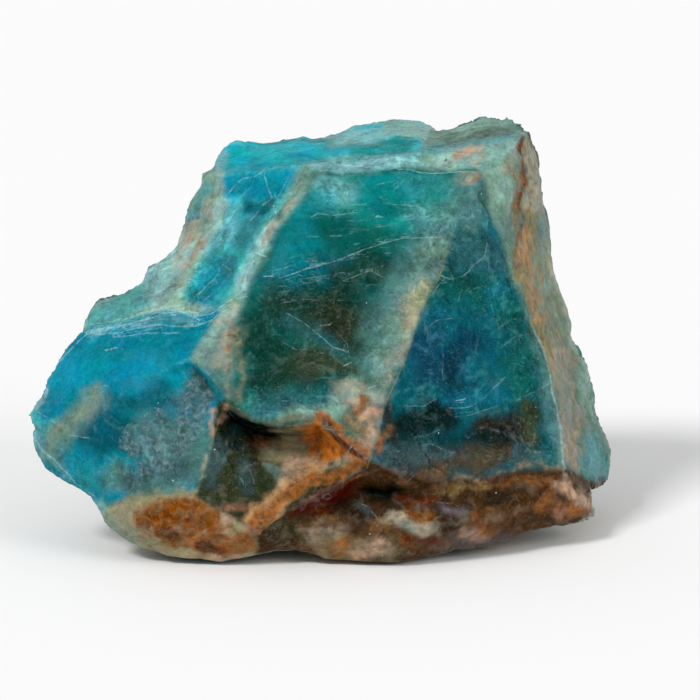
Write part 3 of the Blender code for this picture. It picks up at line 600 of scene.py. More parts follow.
# %% Film strokes
FILM_STROKES = [
    # along the top
    ("slab", "ochre", [(7.2, 44.3), (9.6, 43.3)], 0.3, 0.8, 0.4),
    ("brow", "pink", [(14.6, 42.2), (17.0, 42.8)], 0.7, 1.1, 0.75),
    ("brow", "cream", [(16.2, 41.2), (17.4, 41.6)], 0.5, 0.9, 0.5),
    ("broad", "cream", [(14.8, 39.4), (16.2, 39.9)], 0.6, 1.0, 0.5),
    ("broad", "ember", [(16.5, 39.4), (16.9, 40.1)], 0.30, 0.6, 0.7),
    # the right side
    ("side", "beige", [(19.2, 40.9), (21.2, 43.5)], 0.7, 1.2, 0.6),
    ("side", "ochre", [(22.2, 43.6), (21.8, 36), (21.6, 30), (22.9, 25), (24.4, 20)], 1.3, 1.8, 0.85),
    ("side", "orange", [(20.9, 44.2), (21.0, 41.0), (20.9, 37.6), (20.6, 35.4)], 0.4, 0.9, 0.6),
    ("side", "rust",
     [(21.2, 43.8), (21.5, 40.4), (21.3, 37.0), (20.8, 34.6), (21.2, 31.0)], 0.16, 0.35, 0.85),
    ("side", "tan", [(21.4, 34.0), (21.9, 29), (23.0, 25)], 0.4, 1.1, 0.5),
    ("side", "sand", [(23.6, 33), (24.8, 25), (26.4, 18)], 1.1, 1.8, 0.5),
    ("side", "beige", [(22.6, 42.6), (22.6, 37.0)], 0.7, 1.2, 0.7),
    ("side", "cream", [(24.2, 32.0), (25.4, 26.0)], 0.5, 1.2, 0.6),
    ("side", "sand", [(26.6, 16.0), (27.2, 12.0)], 0.9, 1.8, 0.6),
    ("side", "pink", [(25.4, 21), (26.2, 12)], 0.8, 2.0, 0.5),
    ("side", "pink", [(25.9, 13), (26.4, 10.0)], 0.6, 1.0, 0.7),
    # the blue triangle
    ("blue", "beige", [(20.2, 32), (21.2, 28.0)], 0.35, 0.8, 0.5),
    ("blue", "clay", [(13.3, 15.9), (13.35, 15.1)], 0.12, 0.2, 0.8),
    ("blue", "clay", [(10.0, 9.6), (13.0, 9.2)], 0.5, 1.0, 0.5),
    ("blue", "clay", [(14.0, 10.6), (17.6, 10.4)], 0.35, 1.4, 0.45),
    ("blue", "tan", [(14.6, 8.6), (18, 8.9), (21.4, 9.8), (25.0, 10.0)], 0.35, 0.9, 0.5),
    ("blue", "rust", [(9.0, 8.9), (12.0, 8.7)], 0.4, 0.8, 0.7),
    ("blue", "clay", [(6.6, 12.6), (7.6, 14.2)], 0.5, 1.0, 0.8),
    ("blue", "orange", [(5.8, 10.8), (6.8, 12.4)], 0.4, 0.8, 0.6),
    # the broad face
    ("broad", "beige", [(10.2, 25.5), (8.2, 20.4), (7.0, 17.0)], 0.8, 1.6, 0.40),
    ("broad", "pink", [(4.6, 16.2), (6.0, 14.6), (5.4, 12.4)], 1.3, 1.8, 0.85),
    ("broad", "beige", [(2.6, 17.6), (4.6, 17.8)], 0.9, 1.6, 0.45),
    ("broad", "tan", [(3.0, 15.6), (4.6, 13.8)], 0.7, 1.5, 0.6),
    ("broad", "orange", [(4.2, 15.8), (4.8, 16.6)], 0.4, 0.9, 0.6),
    ("broad", "orange", [(0.2, 14.6), (2.2, 13.6), (4.4, 11.4)], 0.7, 0.8, 1.1),
    ("broad", "rust", [(0.8, 14.3), (2.6, 12.9), (4.4, 11.2)], 0.25, 0.4, 0.9),
    ("broad", "clay", [(-4.6, 14.7), (-1, 14.7)], 0.4, 1.0, 0.55),
    ("broad", "sand", [(-8.4, 23.4), (-7.6, 20.0), (-8.2, 17.4)], 0.8, 1.6, 0.6),
    # the band and its orange streak
    ("band", "beige", [(-2.6, 37.0), (-3.4, 35.8)], 0.5, 0.9, 0.75),
    ("band", "pink", [(-4.2, 35.2), (-5.4, 33.0)], 0.35, 0.9, 0.7),
    ("band", "tan", [(-4.6, 34.4), (-5.6, 32.6)], 0.16, 0.5, 0.6),
    ("band", "ochre", [(-6.9, 30.0), (-7.3, 28.6)], 0.2, 0.5, 0.6),
    ("band", "cream", [(-8.6, 26.0), (-10.2, 24.6)], 0.7, 1.2, 0.45),
    ("band", "beige", [(-9.0, 24.4), (-9.6, 20), (-9.4, 17.2)], 0.9, 1.2, 0.55),
    ("band", "orange", [(-8.6, 24.2), (-9.0, 21), (-9.5, 19.0), (-9.2, 17.0)], 0.32, 0.6, 0.95),
    ("band", "rust", [(-8.5, 23.8), (-8.8, 22.4)], 0.14, 0.4, 0.7),
    ("band", "rust", [(-9.4, 19.4), (-9.5, 18.0)], 0.16, 0.4, 0.7),
    # the gully and the shoulder
    ("gully", "tan", [(-11.4, 33.0), (-12.6, 31.0)], 0.3, 0.8, 0.6),
    ("shoulder", "tan", [(-11.3, 33.4), (-12.4, 31.8), (-13.6, 30.0)], 0.4, 0.9, 0.8),
    ("shoulder", "beige", [(-10.4, 38.4), (-12.4, 34.4)], 0.6, 1.4, 0.5),
    ("shoulder", "tan", [(-10.6, 38.2), (-11.0, 37.4)], 0.16, 0.5, 0.6),
    ("shoulder", "tan", [(-10.4, 36.2), (-10.8, 35.2)], 0.16, 0.5, 0.6),
    ("shoulder", "pink", [(-12.6, 33.8), (-14.6, 30.6)], 0.7, 1.4, 0.55),
    ("shoulder", "beige", [(-13.6, 29.0), (-12.8, 27.4)], 0.6, 1.2, 0.4),
    # the swell
    ("swell", "ochre", [(-27.7, 11.4), (-26.4, 13.2)], 0.2, 0.8, 0.5),
    ("swell", "sand", [(-26.6, 13.0), (-24.6, 15.0), (-23.0, 17.0)], 0.7, 1.8, 0.4),
    ("swell", "pink", [(-10.3, 15.6), (-10.7, 13.4)], 0.35, 0.7, 0.8),
    ("swell", "beige", [(-10.9, 12.4), (-11.6, 9.4), (-12.2, 7.6)], 0.22, 0.6, 0.65),
    ("swell", "ochre", [(-19.0, 6.9), (-15, 7.2), (-12.6, 7.2)], 0.3, 0.9, 0.5),
    # the amber lobe
    ("lobe", "sand", [(-21.0, 4.8), (-19.4, 3.4), (-18.0, 1.8)], 1.0, 1.8, 0.5),
    ("lobe", "pink", [(-16.4, 1.0), (-12.0, 0.2), (-7.6, 0.8)], 0.7, 1.4, 0.8),
    ("lobe", "pink", [(-18.6, 4.8), (-17.8, 5.8)], 0.6, 1.0, 0.5),
    ("lobe", "orange", [(-16.4, 5.8), (-12.4, 5.8)], 1.1, 1.4, 0.95),
    ("lobe", "amber", [(-16.4, 4.4), (-13.5, 4.2), (-11.2, 4.0)], 2.0, 1.8, 1.0),
    ("lobe", "amber", [(-15.6, 2.6), (-12.0, 2.8), (-10.0, 3.2)], 0.8, 1.2, 1.0),
    ("lobe", "rust", [(-13.2, 4.6), (-12.8, 4.9)], 0.35, 0.5, 1.0),
    ("lobe", "rust", [(-15.2, 2.8), (-14.2, 3.0)], 0.3, 0.7, 0.8),
    ("lobe", "orange", [(-12.0, 2.4), (-9.4, 2.2)], 0.9, 1.4, 1.0),
    ("lobe", "rust", [(-11.4, 2.0), (-9.8, 1.6)], 0.4, 0.8, 0.8),
    ("lobe", "pink", [(-9.2, 4.6), (-7.6, 3.6)], 0.6, 1.4, 0.6),
    ("lobe", "orange", [(-8.4, 2.0), (-6.6, 2.2)], 0.6, 0.9, 0.9),
    # the hollow
    ("nook", "pink", [(-9.4, 16.0), (-10.0, 14.2)], 0.35, 0.6, 0.7),
    ("nook", "rust", [(-5.8, 13.0), (-4.4, 12.9)], 0.4, 1.0, 0.6),
    ("nook", "tan", [(-3.2, 12.4), (-2.6, 11.6), (-1.6, 10.8)], 1.3, 2.2, 0.45),
    ("nook", "pink", [(-2.2, 9.4), (-3.8, 7.8)], 1.0, 1.6, 0.7),
    ("nook", "ember", [(-0.4, 13.0), (1.2, 12.0), (3.0, 11.4)], 1.2, 1.6, 1.1),
    ("nook", "ember", [(-0.2, 11.4), (1.4, 10.8)], 0.5, 1.0, 0.8),
    ("nook", "amber", [(0.2, 13.8), (1.8, 12.8), (3.4, 11.8), (4.4, 10.8)], 0.6, 0.7, 1.2),
    ("nook", "ember", [(0.2, 13.9), (1.6, 12.8), (3.2, 11.8), (4.6, 10.6)], 0.45, 0.6, 1.2),
    ("nook", "pink", [(-1.8, 10.6), (0.4, 10.2)], 0.8, 1.4, 0.8),
    ("nook", "cream", [(1.6, 9.9), (3.2, 10.7)], 0.6, 1.2, 0.7),
    ("nook", "tan", [(0.4, 9.8), (-1.6, 8.4), (-4.0, 6.6), (-6.4, 3.8)], 1.0, 1.2, 1.2),
    ("nook", "orange", [(0.4, 9.4), (-1.6, 8.2), (-4.0, 6.3), (-6.4, 3.6)], 0.45, 1.1, 1.0),
    ("nook", "orange", [(3.8, 10.2), (0.8, 8.5), (-2.0, 7.0)], 0.5, 0.9, 0.9),
    ("nook", "rose", [(-7.4, 5.6), (-9.2, 5.6)], 0.5, 1.0, 0.6),
    ("nook", "umber", [(-8.4, 8.0), (-8.8, 6.8)], 0.5, 1.0, 0.5),
    # the toe
    ("toe", "clay", [(-1.0, 1.8), (6, 1.8), (14, 2.4), (20, 4.0)], 1.1, 2.4, 0.45),
    ("toe", "clay", [(8.4, 8.3), (14, 7.9), (19, 8.4)], 0.4, 1.2, 0.6),
    ("toe", "ember", [(2.6, 8.1), (4.8, 9.2)], 0.14, 0.45, 0.9),
    ("toe", "rust", [(-0.8, 4.8), (1.4, 5.4)], 0.6, 1.5, 0.7),
    ("toe", "clay", [(-1.6, 3.9), (1.8, 4.2)], 0.5, 1.5, 0.7),
    ("toe", "beige", [(-0.4, 2.8), (2.0, 2.8)], 0.5, 1.8, 0.5),
    ("toe", "orange", [(2.0, 1.2), (3.4, 1.8)], 0.6, 1.5, 0.75),
    ("toe", "pink", [(4.4, 1.2), (6.4, 1.6)], 0.6, 1.5, 0.8),
    ("toe", "clay", [(6.0, 3.8), (8.4, 4.4)], 0.8, 1.8, 0.7),
    ("toe", "beige", [(8.2, 4.8), (10.4, 4.2), (11.6, 3.4)], 0.7, 1.8, 0.75),
    ("toe", "orange", [(9.4, 5.8), (12.0, 4.9)], 0.35, 1.2, 0.8),
    ("toe", "rust", [(9.2, 2.3), (12.4, 2.4)], 0.45, 1.2, 0.8),
    ("toe", "ochre", [(8.6, 7.4), (11.4, 6.8), (14.0, 7.2), (17.6, 7.9)], 0.2, 0.9, 0.7),
    ("toe", "rust", [(8.4, 6.8), (12.2, 6.6)], 0.5, 1.5, 0.7),
    ("toe", "orange", [(16.4, 4.4), (17.6, 3.2)], 0.7, 1.8, 0.8),
    ("toe", "pink", [(15.8, 2.8), (17.0, 2.4)], 0.5, 1.5, 0.7),
    ("toe", "clay", [(18.4, 5.0), (20.6, 4.8)], 0.6, 1.8, 0.7),
    ("toe", "orange", [(19.6, 8.3), (22.0, 8.6), (24.4, 8.6)], 0.35, 1.2, 0.7),
    ("toe", "bark", [(20.8, 6.6), (24.2, 7.0)], 0.9, 1.6, 1.0),
    ("toe", "orange", [(22.6, 5.6), (25.0, 6.2)], 0.7, 1.8, 0.7),
    ("toe", "rose", [(25.2, 5.2), (27.4, 5.6)], 0.9, 1.8, 0.95),
    ("toe", "pink", [(25.6, 8.4), (26.8, 7.4), (27.8, 6.4)], 0.7, 1.5, 0.9),
    ("toe", "orange", [(26.4, 6.0), (27.2, 5.2)], 0.3, 1.2, 0.6),
    # one black speck on the brow
    ("brow", "pit and shadow black", [(13.15, 41.7), (13.2, 41.6)], 0.14, 0.2, 1.3),
]
for face, tone, path, half_width, rim, amount in FILM_STROKES:
    paint_film(face, tone, path, half_width, rim, amount)
print(len(FILM_STROKES), "film strokes")

# %% Veil strokes
VEIL_STROKES = [
    # face, path, half width, rim, amount: near 1 the place is milky, near 0 it is clear
    ("broad", [(12.6, 33), (8.6, 24), (6.6, 18)], 2.2, 3.0, 0.75),
    ("broad", [(-3, 26), (3, 21)], 3.6, 3.0, 0.5),
    ("broad", [(-6, 16.6), (1, 16)], 1.6, 2.0, 0.85),
    ("broad", [(0.8, 39.6), (3.2, 37.4)], 1.6, 1.6, 0.9),
    ("broad", [(10.4, 35.2), (13.4, 35.6)], 1.8, 2.0, 0.9),
    ("broad", [(-2, 33), (5, 33.5)], 2.4, 2.0, 0.08),
    ("broad", [(6, 38.6), (9, 38.4)], 1.6, 2.0, 0.15),
    ("blue", [(13, 24), (14, 19)], 2.4, 2.0, 0.6),
    ("blue", [(12, 18), (15, 17)], 1.4, 2.0, 0.7),
    ("blue", [(16, 34), (17, 28)], 3.0, 3.0, 0.75),
    ("blue", [(20, 25), (23, 18)], 2.0, 2.0, 0.8),
    ("blue", [(8, 10.8), (15, 10.4), (22, 10.6)], 0.9, 1.4, 0.9),
    ("blue", [(21.6, 14), (23.4, 12)], 1.6, 2.0, 0.8),
    ("swell", [(-26, 19), (-15, 21)], 2.2, 2.0, 0.10),
    ("swell", [(-23, 13), (-20, 13)], 2.2, 2.0, 0.15),
    ("swell", [(-20, 8.6), (-14, 8.6)], 1.4, 2.0, 0.8),
    ("shoulder", [(-14, 31), (-22, 26)], 3.0, 3.0, 0.7),
    ("band", [(-3, 37), (-8, 28)], 1.5, 2.0, 0.8),
    ("gully", [(-9, 35), (-13, 27)], 1.5, 2.0, 0.85),
    ("gully", [(-8, 39.4), (-4, 39.4)], 1.2, 1.4, 0.15),
    ("slab", [(-9, 42), (-1, 43)], 2.0, 2.0, 0.12),
    ("brow", [(-1, 40.8), (12, 41.6)], 1.0, 1.2, 0.95),
    ("nook", [(-9, 11), (-7, 7)], 1.6, 2.0, 0.75),
    # this and the toe's next one keep the painted shadows under the lip and under the sill clear
    ("nook", [(-8, 14.2), (-5, 13.4)], 1.0, 1.2, 0.05),
    ("toe", [(5, 7.6), (8.6, 7.2)], 1.0, 1.2, 0.05),
    ("toe", [(-4, 3.4), (-1, 3.6)], 1.0, 1.2, 0.7),
    ("toe", [(-1.6, 5.6), (3.2, 7.4)], 1.2, 1.6, 0.05),
]
for face, path, half_width, rim, amount in VEIL_STROKES:
    paint_veil(face, path, half_width, rim, amount)
print(len(VEIL_STROKES), "veil strokes")

# %% [markdown]
# ## Hair cracks and painted glints
# Thin white lines in the photo are healed cracks and the brows of small steps; the short glints among them,
# and part of the lines along the ridge over the swell, are painted highlights. They are thinner than the
# mesh, so a line isn't painted: each vertex gets its distance to the nearest line, with a sign for the
# side, and the shader draws the line where that distance passes through zero.

# %% Lines, with a strength for each
CRACKS_AND_GLINTS = [
    # strength, path
    # the brow and the top of the broad face
    (1.0, [(-1.6, 40.5), (1.7, 41.2), (5.0, 41.0), (8.6, 40.4), (12.8, 40.0), (15.4, 40.2)]),
    (0.6, [(3.2, 41.8), (6.0, 41.7), (10.2, 42.2)]),
    (0.5, [(3.5, 39.2), (6.0, 39.0), (8.0, 39.2)]),
    (0.5, [(6.8, 37.6), (8.0, 38.3), (9.4, 39.4)]),
    (0.7, [(3.9, 36.7), (6.0, 36.9), (8.5, 36.9), (11.0, 36.6)]),
    (0.6, [(0.2, 35.9), (2.2, 35.7), (4.2, 35.9)]),
    (0.7, [(3.3, 38.6), (3.4, 37.8), (3.9, 36.7)]),
    (0.9, [(-3.5, 29.7), (0.0, 30.6), (3.6, 31.7), (6.5, 32.6), (9.0, 33.2), (12.8, 33.4)]),
    (0.5, [(-4.4, 30.4), (-1.5, 31.0), (1.2, 31.2)]),
    (0.4, [(-2.8, 29.2), (0.5, 29.6), (3.0, 29.8)]),
    (0.4, [(1.6, 34.3), (5.0, 34.2), (7.2, 34.6)]),
    (0.4, [(9.6, 34.4), (11.0, 35.0), (13.4, 34.8)]),
    # the middle of the broad face
    (0.6, [(3.0, 29.0), (4.4, 29.6), (5.6, 30.1), (7.0, 29.6)]),
    (0.5, [(-5.6, 26.0), (-3.5, 26.7), (-1.0, 27.2), (3.8, 26.7)]),
    (0.7, [(-2.7, 25.4), (-1.0, 24.4), (0.4, 23.2), (1.6, 22.3), (3.0, 21.9)]),
    (0.6, [(0.2, 24.2), (1.5, 24.4), (2.3, 25.0)]),
    (0.5, [(2.4, 23.4), (3.2, 22.6), (3.4, 21.6)]),
    (0.6, [(-3.6, 22.6), (-2.4, 21.9), (-0.6, 21.8), (1.2, 21.5)]),
    (0.5, [(8.0, 26.2), (9.4, 25.9), (10.4, 26.3)]),
    (0.5, [(-5.6, 15.6), (-3.4, 15.2), (-1.0, 15.6), (1.6, 14.9)]),
    (0.6, [(-2.2, 16.6), (-1.0, 15.7), (-0.4, 15.1)]),
    (0.5, [(-5.8, 28.6), (-4.4, 27.6), (-4.2, 26.2)]),
    # the gully and the band
    (0.7, [(-8.8, 38.5), (-7.4, 39.6), (-5.6, 39.9), (-5.0, 40.4), (-3.0, 40.5)]),
    (0.7, [(-5.2, 39.8), (-4.9, 38.8), (-4.4, 37.6), (-5.6, 36.6), (-6.6, 35.4)]),
    (0.5, [(-3.0, 39.2), (-3.8, 37.6), (-4.5, 36.3)]),
    (0.6, [(-9.6, 31.0), (-8.7, 30.2), (-8.4, 29.0)]),
    (0.9, [(-15.0, 26.2), (-12.6, 25.6), (-10.8, 25.8), (-8.8, 27.0), (-7.4, 27.5)]),
    (0.7, [(-13.4, 24.7), (-11.0, 25.0), (-9.0, 26.2)]),
    (0.7, [(-12.8, 27.2), (-10.6, 29.2), (-9.6, 31.6)]),
    (0.6, [(-11.4, 27.2), (-9.4, 29.0), (-8.0, 31.2)]),
    # the ridge over the swell, white frost with a painted highlight along it, and the swell's rims
    (1.0, [(-28.2, 19.4), (-26.6, 20.6), (-25.0, 22.2), (-23.8, 23.3),
           (-20.0, 24.5), (-17.0, 25.1), (-14.6, 25.4)]),
    (0.9, [(-22.8, 24.4), (-20.4, 25.1), (-17.0, 25.8), (-14.5, 26.3)]),
    (0.5, [(-28.4, 16.4), (-26.2, 17.1), (-23.2, 18.0), (-19.6, 18.4)]),
    (0.8, [(-25.0, 13.1), (-23.6, 13.0)]),
    (0.7, [(-26.6, 9.2), (-24.4, 8.2), (-23.2, 7.2)]),
    (0.4, [(-15.6, 20.4), (-13.4, 19.0), (-12.4, 18.0)]),
    # the blue triangle
    (0.9, [(12.9, 29.7), (13.8, 29.3), (15.0, 29.4), (15.9, 30.1)]),
    (0.6, [(12.2, 28.0), (12.7, 28.9), (13.5, 29.1)]),
    (0.6, [(16.2, 30.6), (17.4, 31.6), (17.8, 33.0)]),
    (0.5, [(13.4, 26.0), (14.4, 26.8), (15.0, 28.0)]),
    (0.5, [(11.6, 24.0), (12.6, 24.8), (13.6, 25.0)]),
    (0.5, [(13.2, 18.4), (13.4, 20.6), (13.2, 23.2)]),
    (0.5, [(18.6, 22.0), (20.4, 23.2), (22.4, 23.6)]),
    (0.5, [(19.0, 24.2), (20.3, 24.9), (21.6, 25.0)]),
    (0.6, [(13.8, 15.8), (16.0, 16.2), (17.4, 17.0), (18.6, 18.2), (19.3, 18.9)]),
    (0.55, [(14.6, 15.0), (17.5, 15.6), (20.0, 16.6), (22.4, 17.6), (24.0, 18.3)]),
    (0.6, [(9.6, 16.2), (11.0, 16.0), (12.2, 16.6)]),
    (0.4, [(9.2, 12.6), (10.4, 13.0), (11.5, 12.9), (12.9, 13.5), (14.0, 13.3), (15.5, 12.9)]),
    (0.5, [(8.6, 11.6), (9.8, 12.1), (11.0, 12.0), (12.1, 12.1), (13.2, 11.5), (14.5, 10.9)]),
    (0.4, [(16.0, 13.2), (16.7, 13.8), (17.4, 13.7), (18.4, 13.4)]),
    (0.5, [(21.2, 12.4), (22.0, 11.2), (23.2, 11.3)]),
    # the hollow and the toe
    (0.5, [(-7.6, 10.4), (-6.8, 9.4), (-6.4, 8.2)]),
    (0.5, [(-8.4, 9.4), (-7.4, 8.2), (-7.2, 7.0)]),
    (0.6, [(4.2, 6.2), (5.4, 5.6), (6.2, 4.6)]),
    (0.5, [(0.4, 6.6), (1.2, 6.3), (1.9, 6.6), (1.2, 7.0), (0.4, 6.6)]),
    (0.5, [(12.4, 6.4), (14.6, 6.0), (16.0, 5.4)]),
    # glints: a few breaks that catch the light
    (1.6, [(-13.2, 26.1), (-12.2, 25.7)]),
    (1.4, [(-12.6, 26.0), (-11.8, 25.8)]),
    (1.4, [(6.5, 35.5), (7.0, 35.4)]),
    (1.4, [(-4.4, 36.7), (-4.3, 36.2)]),
    (1.3, [(-5.9, 32.0), (-5.5, 31.9)]),
    (1.4, [(-5.0, 29.8), (-4.7, 29.8)]),
    (1.2, [(-0.1, 35.7), (0.2, 35.8)]),
    (1.3, [(-21.2, 22.1), (-20.8, 22.2)]),
    (1.2, [(14.5, 16.8), (14.8, 16.9)]),
    (1.2, [(5.6, 18.0), (5.8, 18.1)]),
    (1.3, [(3.1, 20.5), (3.3, 20.6)]),
    (1.3, [(1.1, 13.6), (1.4, 13.6)]),
    (1.3, [(3.4, 11.6), (3.5, 11.8)]),
    # the stepped ridge over the swell, white frost with a painted highlight, and its lower border
    (1.2, [(-23.6, 23.6), (-20.6, 24.5), (-17.0, 25.0), (-14.0, 25.9), (-12.2, 25.2)]),
    (0.9, [(-22.6, 23.4), (-19.0, 24.1), (-15.6, 24.4), (-12.8, 24.5), (-10.6, 25.0)]),
    (0.8, [(-22.2, 24.6), (-18.6, 25.4), (-15.0, 25.6)]),
    (0.7, [(-20.8, 23.4), (-17.6, 23.7), (-14.6, 23.8)]),
    (0.9, [(-29.4, 14.6), (-28.2, 11.9), (-26.6, 10.0), (-24.8, 8.6)]),
    (0.7, [(-28.4, 15.6), (-27.2, 14.6)]),
    # faint growth layers across the broad face
    (0.45, [(-3.2, 31.4), (0.4, 31.9), (4.0, 32.7), (7.6, 33.4), (11.0, 34.0)]),
    (0.40, [(-2.4, 30.6), (1.2, 31.0), (5.0, 31.4), (8.8, 32.0)]),
    (0.40, [(-1.0, 33.4), (2.6, 33.6), (6.4, 34.4), (9.6, 34.9)]),
    (0.40, [(0.6, 35.2), (4.4, 35.0), (8.6, 35.6), (12.2, 36.2)]),
    (0.35, [(1.6, 37.0), (5.2, 36.8), (9.4, 37.2)]),
    (0.40, [(-5.2, 28.4), (-1.6, 28.8), (2.6, 29.6), (6.8, 30.6)]),
    (0.35, [(-4.6, 27.4), (-0.4, 28.0), (4.6, 28.6)]),
]


def lines_at(lines):
    """For every vertex: signed distance to the nearest line, plain distance, and that line's strength."""
    signed, plain, strength = (np.full(len(points), value) for value in (5.0, 5.0, 0.0))
    for power, path in lines:
        for (x0, y0), (x1, y1) in zip(path, path[1:]):
            span = math.hypot(x1 - x0, y1 - y0)
            along = ((right - x0) * (x1 - x0) + (up - y0) * (y1 - y0)) / span
            across = ((right - x0) * (y1 - y0) - (up - y0) * (x1 - x0)) / span
            total = np.hypot(across, np.maximum(0.0, np.maximum(-along, along - span)))
            nearer = total < plain
            signed = np.where(nearer, across, signed)
            plain = np.where(nearer, total, plain)
            strength = np.where(nearer, power, strength)
    return signed, plain, strength * facing


crack_and_glint_lines = lines_at(CRACKS_AND_GLINTS)
sharp = lines_at([(1.0, SPINE)])
# the white line along the lower arris is a painted glint
arris_glint = lines_at([(1.0, ARRIS)])
print(len(CRACKS_AND_GLINTS), "hair cracks")

# %% [markdown]
# ## From arrays to the mesh
# The shader can't see this script's arrays, so they are written to the mesh as attributes, a value or a
# colour for each vertex. A painted image would need the skin unwrapped and would blur at its seams. An
# attribute goes with the vertices, and this grid is fine enough for soft marks.

# %% Store the layers on the mesh


def store_colour(name, rgb, alpha):
    layer = stone.data.color_attributes.new(name, "FLOAT_COLOR", "POINT")
    values = np.concatenate([np.clip(rgb, 0, 1), np.clip(alpha, 0, 1)[:, None]], axis=1)
    layer.data.foreach_set("color", values.astype(np.float32).ravel())


def store_vector(name, *values):
    layer = stone.data.attributes.new(name, "FLOAT_VECTOR", "POINT")
    layer.data.foreach_set("vector", np.stack(values, axis=1).astype(np.float32).ravel())


def store_value(name, values):
    layer = stone.data.attributes.new(name, "FLOAT", "POINT")
    layer.data.foreach_set("value", values.astype(np.float32))


SNOW = [(-18.6, 12.4), (-16.6, 10.4), (-16.6, 14.0), (-14.0, 12.4), (-13.6, 15.6), (-12.0, 17.4)]
snow = (1.0 - smooth_step(0.6, 3.4, distance_to(SNOW) + 0.9 * rim_noise)) * masks["swell"] * facing
store_colour("crystal", crystal, veil)
store_colour("film", film_tone, film)
store_vector("crack_and_glint_lines", *crack_and_glint_lines)
store_vector("edges", sharp[0], arris_glint[0], np.minimum(sharp[1], arris_glint[1]))
for layer_name, layer_values in {"up": up, "facing": facing, "bend": bend_out, "snow": snow}.items():
    store_value(layer_name, layer_values)
print("layers:", [layer.name for layer in stone.data.attributes if not layer.name.startswith(".")])

# %% [markdown]
# ## The material
# One mineral, so one material: the attributes say where, and noise at real sizes adds what is too fine for
# the mesh. The body is a dielectric with apatite's index of refraction, slightly see-through, which gives
# the soft depth; its breaks are glossy where clean and matt where crusted.

# %% Node helpers
material = bpy.data.materials.new("cloudy blue-green apatite, broken surface")
material.use_nodes = True
tree = material.node_tree
tree.nodes.clear()


def add(kind, links=None, **settings):
    """Adds a node; links maps an input's name or number to a value or to another node's output."""
    node = tree.nodes.new("ShaderNode" + kind)
    for name, value in settings.items():
        setattr(node, name, value)
    for key, value in (links or {}).items():
        if isinstance(value, bpy.types.NodeSocket):
            tree.links.new(value, node.inputs[key])
        else:
            node.inputs[key].default_value = value
    return node


def calc(operation, *values, clamp=False):
    return add("Math", dict(enumerate(values)), operation=operation, use_clamp=clamp).outputs[0]


def times(*values):
    """All the values multiplied."""
    result = values[0]
    for value in values[1:]:
        result = calc("MULTIPLY", result, value)
    return result


def ramp(value, low, high):
    """0 at low, 1 at high, smooth between, and flat beyond."""
    links = {"Value": value, "From Min": min(low, high), "From Max": max(low, high)}
    if low > high:
        links.update({"To Min": 1.0, "To Max": 0.0})
    return add("MapRange", links, interpolation_type="SMOOTHSTEP").outputs[0]


def mix(amount, first, second, kind="MIX"):
    """The first colour with that amount of the second; MULTIPLY darkens or tints by it."""
    return add("Mix", {0: amount, 6: first, 7: second}, data_type="RGBA", blend_type=kind).outputs[2]


def colour(name):
    return (*tones[name], 1.0)


def vector(operation, *values):
    return add("VectorMath", dict(enumerate(values)), operation=operation).outputs[0]


# %% [markdown]
# ## Clouds, wisps, curls and fibres
# White veils hang in the crystal: sheets of tiny healed cracks, seen as mist, fibres and fine curls. They
# are too fine and too many for strokes, so noise draws them. It reads the object's own coordinates in
# millimetres, so every size below is a real one and nothing stretches.

# %% Patterns at real sizes
in_mm = vector("MULTIPLY", add("TexCoord").outputs["Object"], (1 / MM, 1 / MM, 1 / MM))


def pattern(size, detail=4.0, distortion=0.0, roughness=0.55, shift=0.0):
    """Noise from -1 to 1, or near it, with patches of that many millimetres."""
    at = vector("ADD", in_mm, (shift, shift, shift)) if shift else in_mm
    links = {"Vector": at, "Scale": 1.0 / size, "Detail": detail, "Distortion": distortion}
    fac = add("TexNoise", {**links, "Roughness": roughness}).outputs["Fac"]
    return calc("MULTIPLY_ADD", fac, 2.0, -1.0)


def split(name):
    return add("SeparateXYZ", {0: add("Attribute", attribute_name=name).outputs["Vector"]}).outputs


def value_of(name):
    return add("Attribute", attribute_name=name).outputs["Fac"]


crystal_layer = add("Attribute", attribute_name="crystal").outputs
film_layer = add("Attribute", attribute_name="film").outputs
crack_and_glint, edge = split("crack_and_glint_lines"), split("edges")
up_here, facing_here, bend_here, snow_here = (value_of(name) for name in ("up", "facing", "bend", "snow"))
clouds = pattern(5.0, 4.0, 0.4, 0.6)
mottle = pattern(2.0, 6.0, 0.2, 0.62)
grain = pattern(0.45, 4.0, 0.0, 0.65)
shaken = add("TexNoise", {"Vector": in_mm, "Scale": 1 / 2.2, "Detail": 2.0}).outputs["Color"]
warped = vector("MULTIPLY_ADD", shaken, (1.8, 1.8, 1.8), in_mm)
print("nodes for the layers and patterns:", len(tree.nodes))

# %% Wisps: short healed cracks that turn from patch to patch, and loose curls


def wisps(patch, long, thin, low, high):
    """Short straight threads, turned another way in each patch."""
    cell = add("TexVoronoi", {"Vector": warped, "Scale": 1 / patch}, feature="F1")
    turn = vector("MULTIPLY", cell.outputs["Color"], (6.3, 6.3, 6.3))
    turned = add("VectorRotate", {"Vector": warped, "Rotation": turn}, rotation_type="EULER_XYZ").outputs[0]
    stretched = vector("MULTIPLY", turned, (1 / long, 1 / thin, 1 / thin))
    lines = add("TexNoise", {"Vector": stretched, "Scale": 1.0, "Detail": 1.5, "Roughness": 0.5})
    return ramp(lines.outputs["Fac"], low, high)


def curls(size, width, low, high, shift):
    """Thin curved lines where a noise passes through zero, kept only in patches."""
    line = ramp(calc("ABSOLUTE", pattern(size, 1.0, 0.5, 0.5, shift)), width, width * 0.25)
    return times(line, ramp(pattern(1.1, 2.0, 0.0, 0.5, shift + 7.0), low, high))


def fibres(size, low, high, shift):
    """Fine fibrous mist, brightest along winding crests."""
    at = vector("ADD", warped, (shift, shift, shift))
    links = {"Vector": at, "Scale": 1.0 / size, "Detail": 7.0, "Roughness": 0.62, "Distortion": 0.15}
    links.update({"Offset": 1.0, "Gain": 1.0})
    crests = add("TexNoise", links, noise_type="RIDGED_MULTIFRACTAL", normalize=False)
    return ramp(crests.outputs["Fac"], low, high)


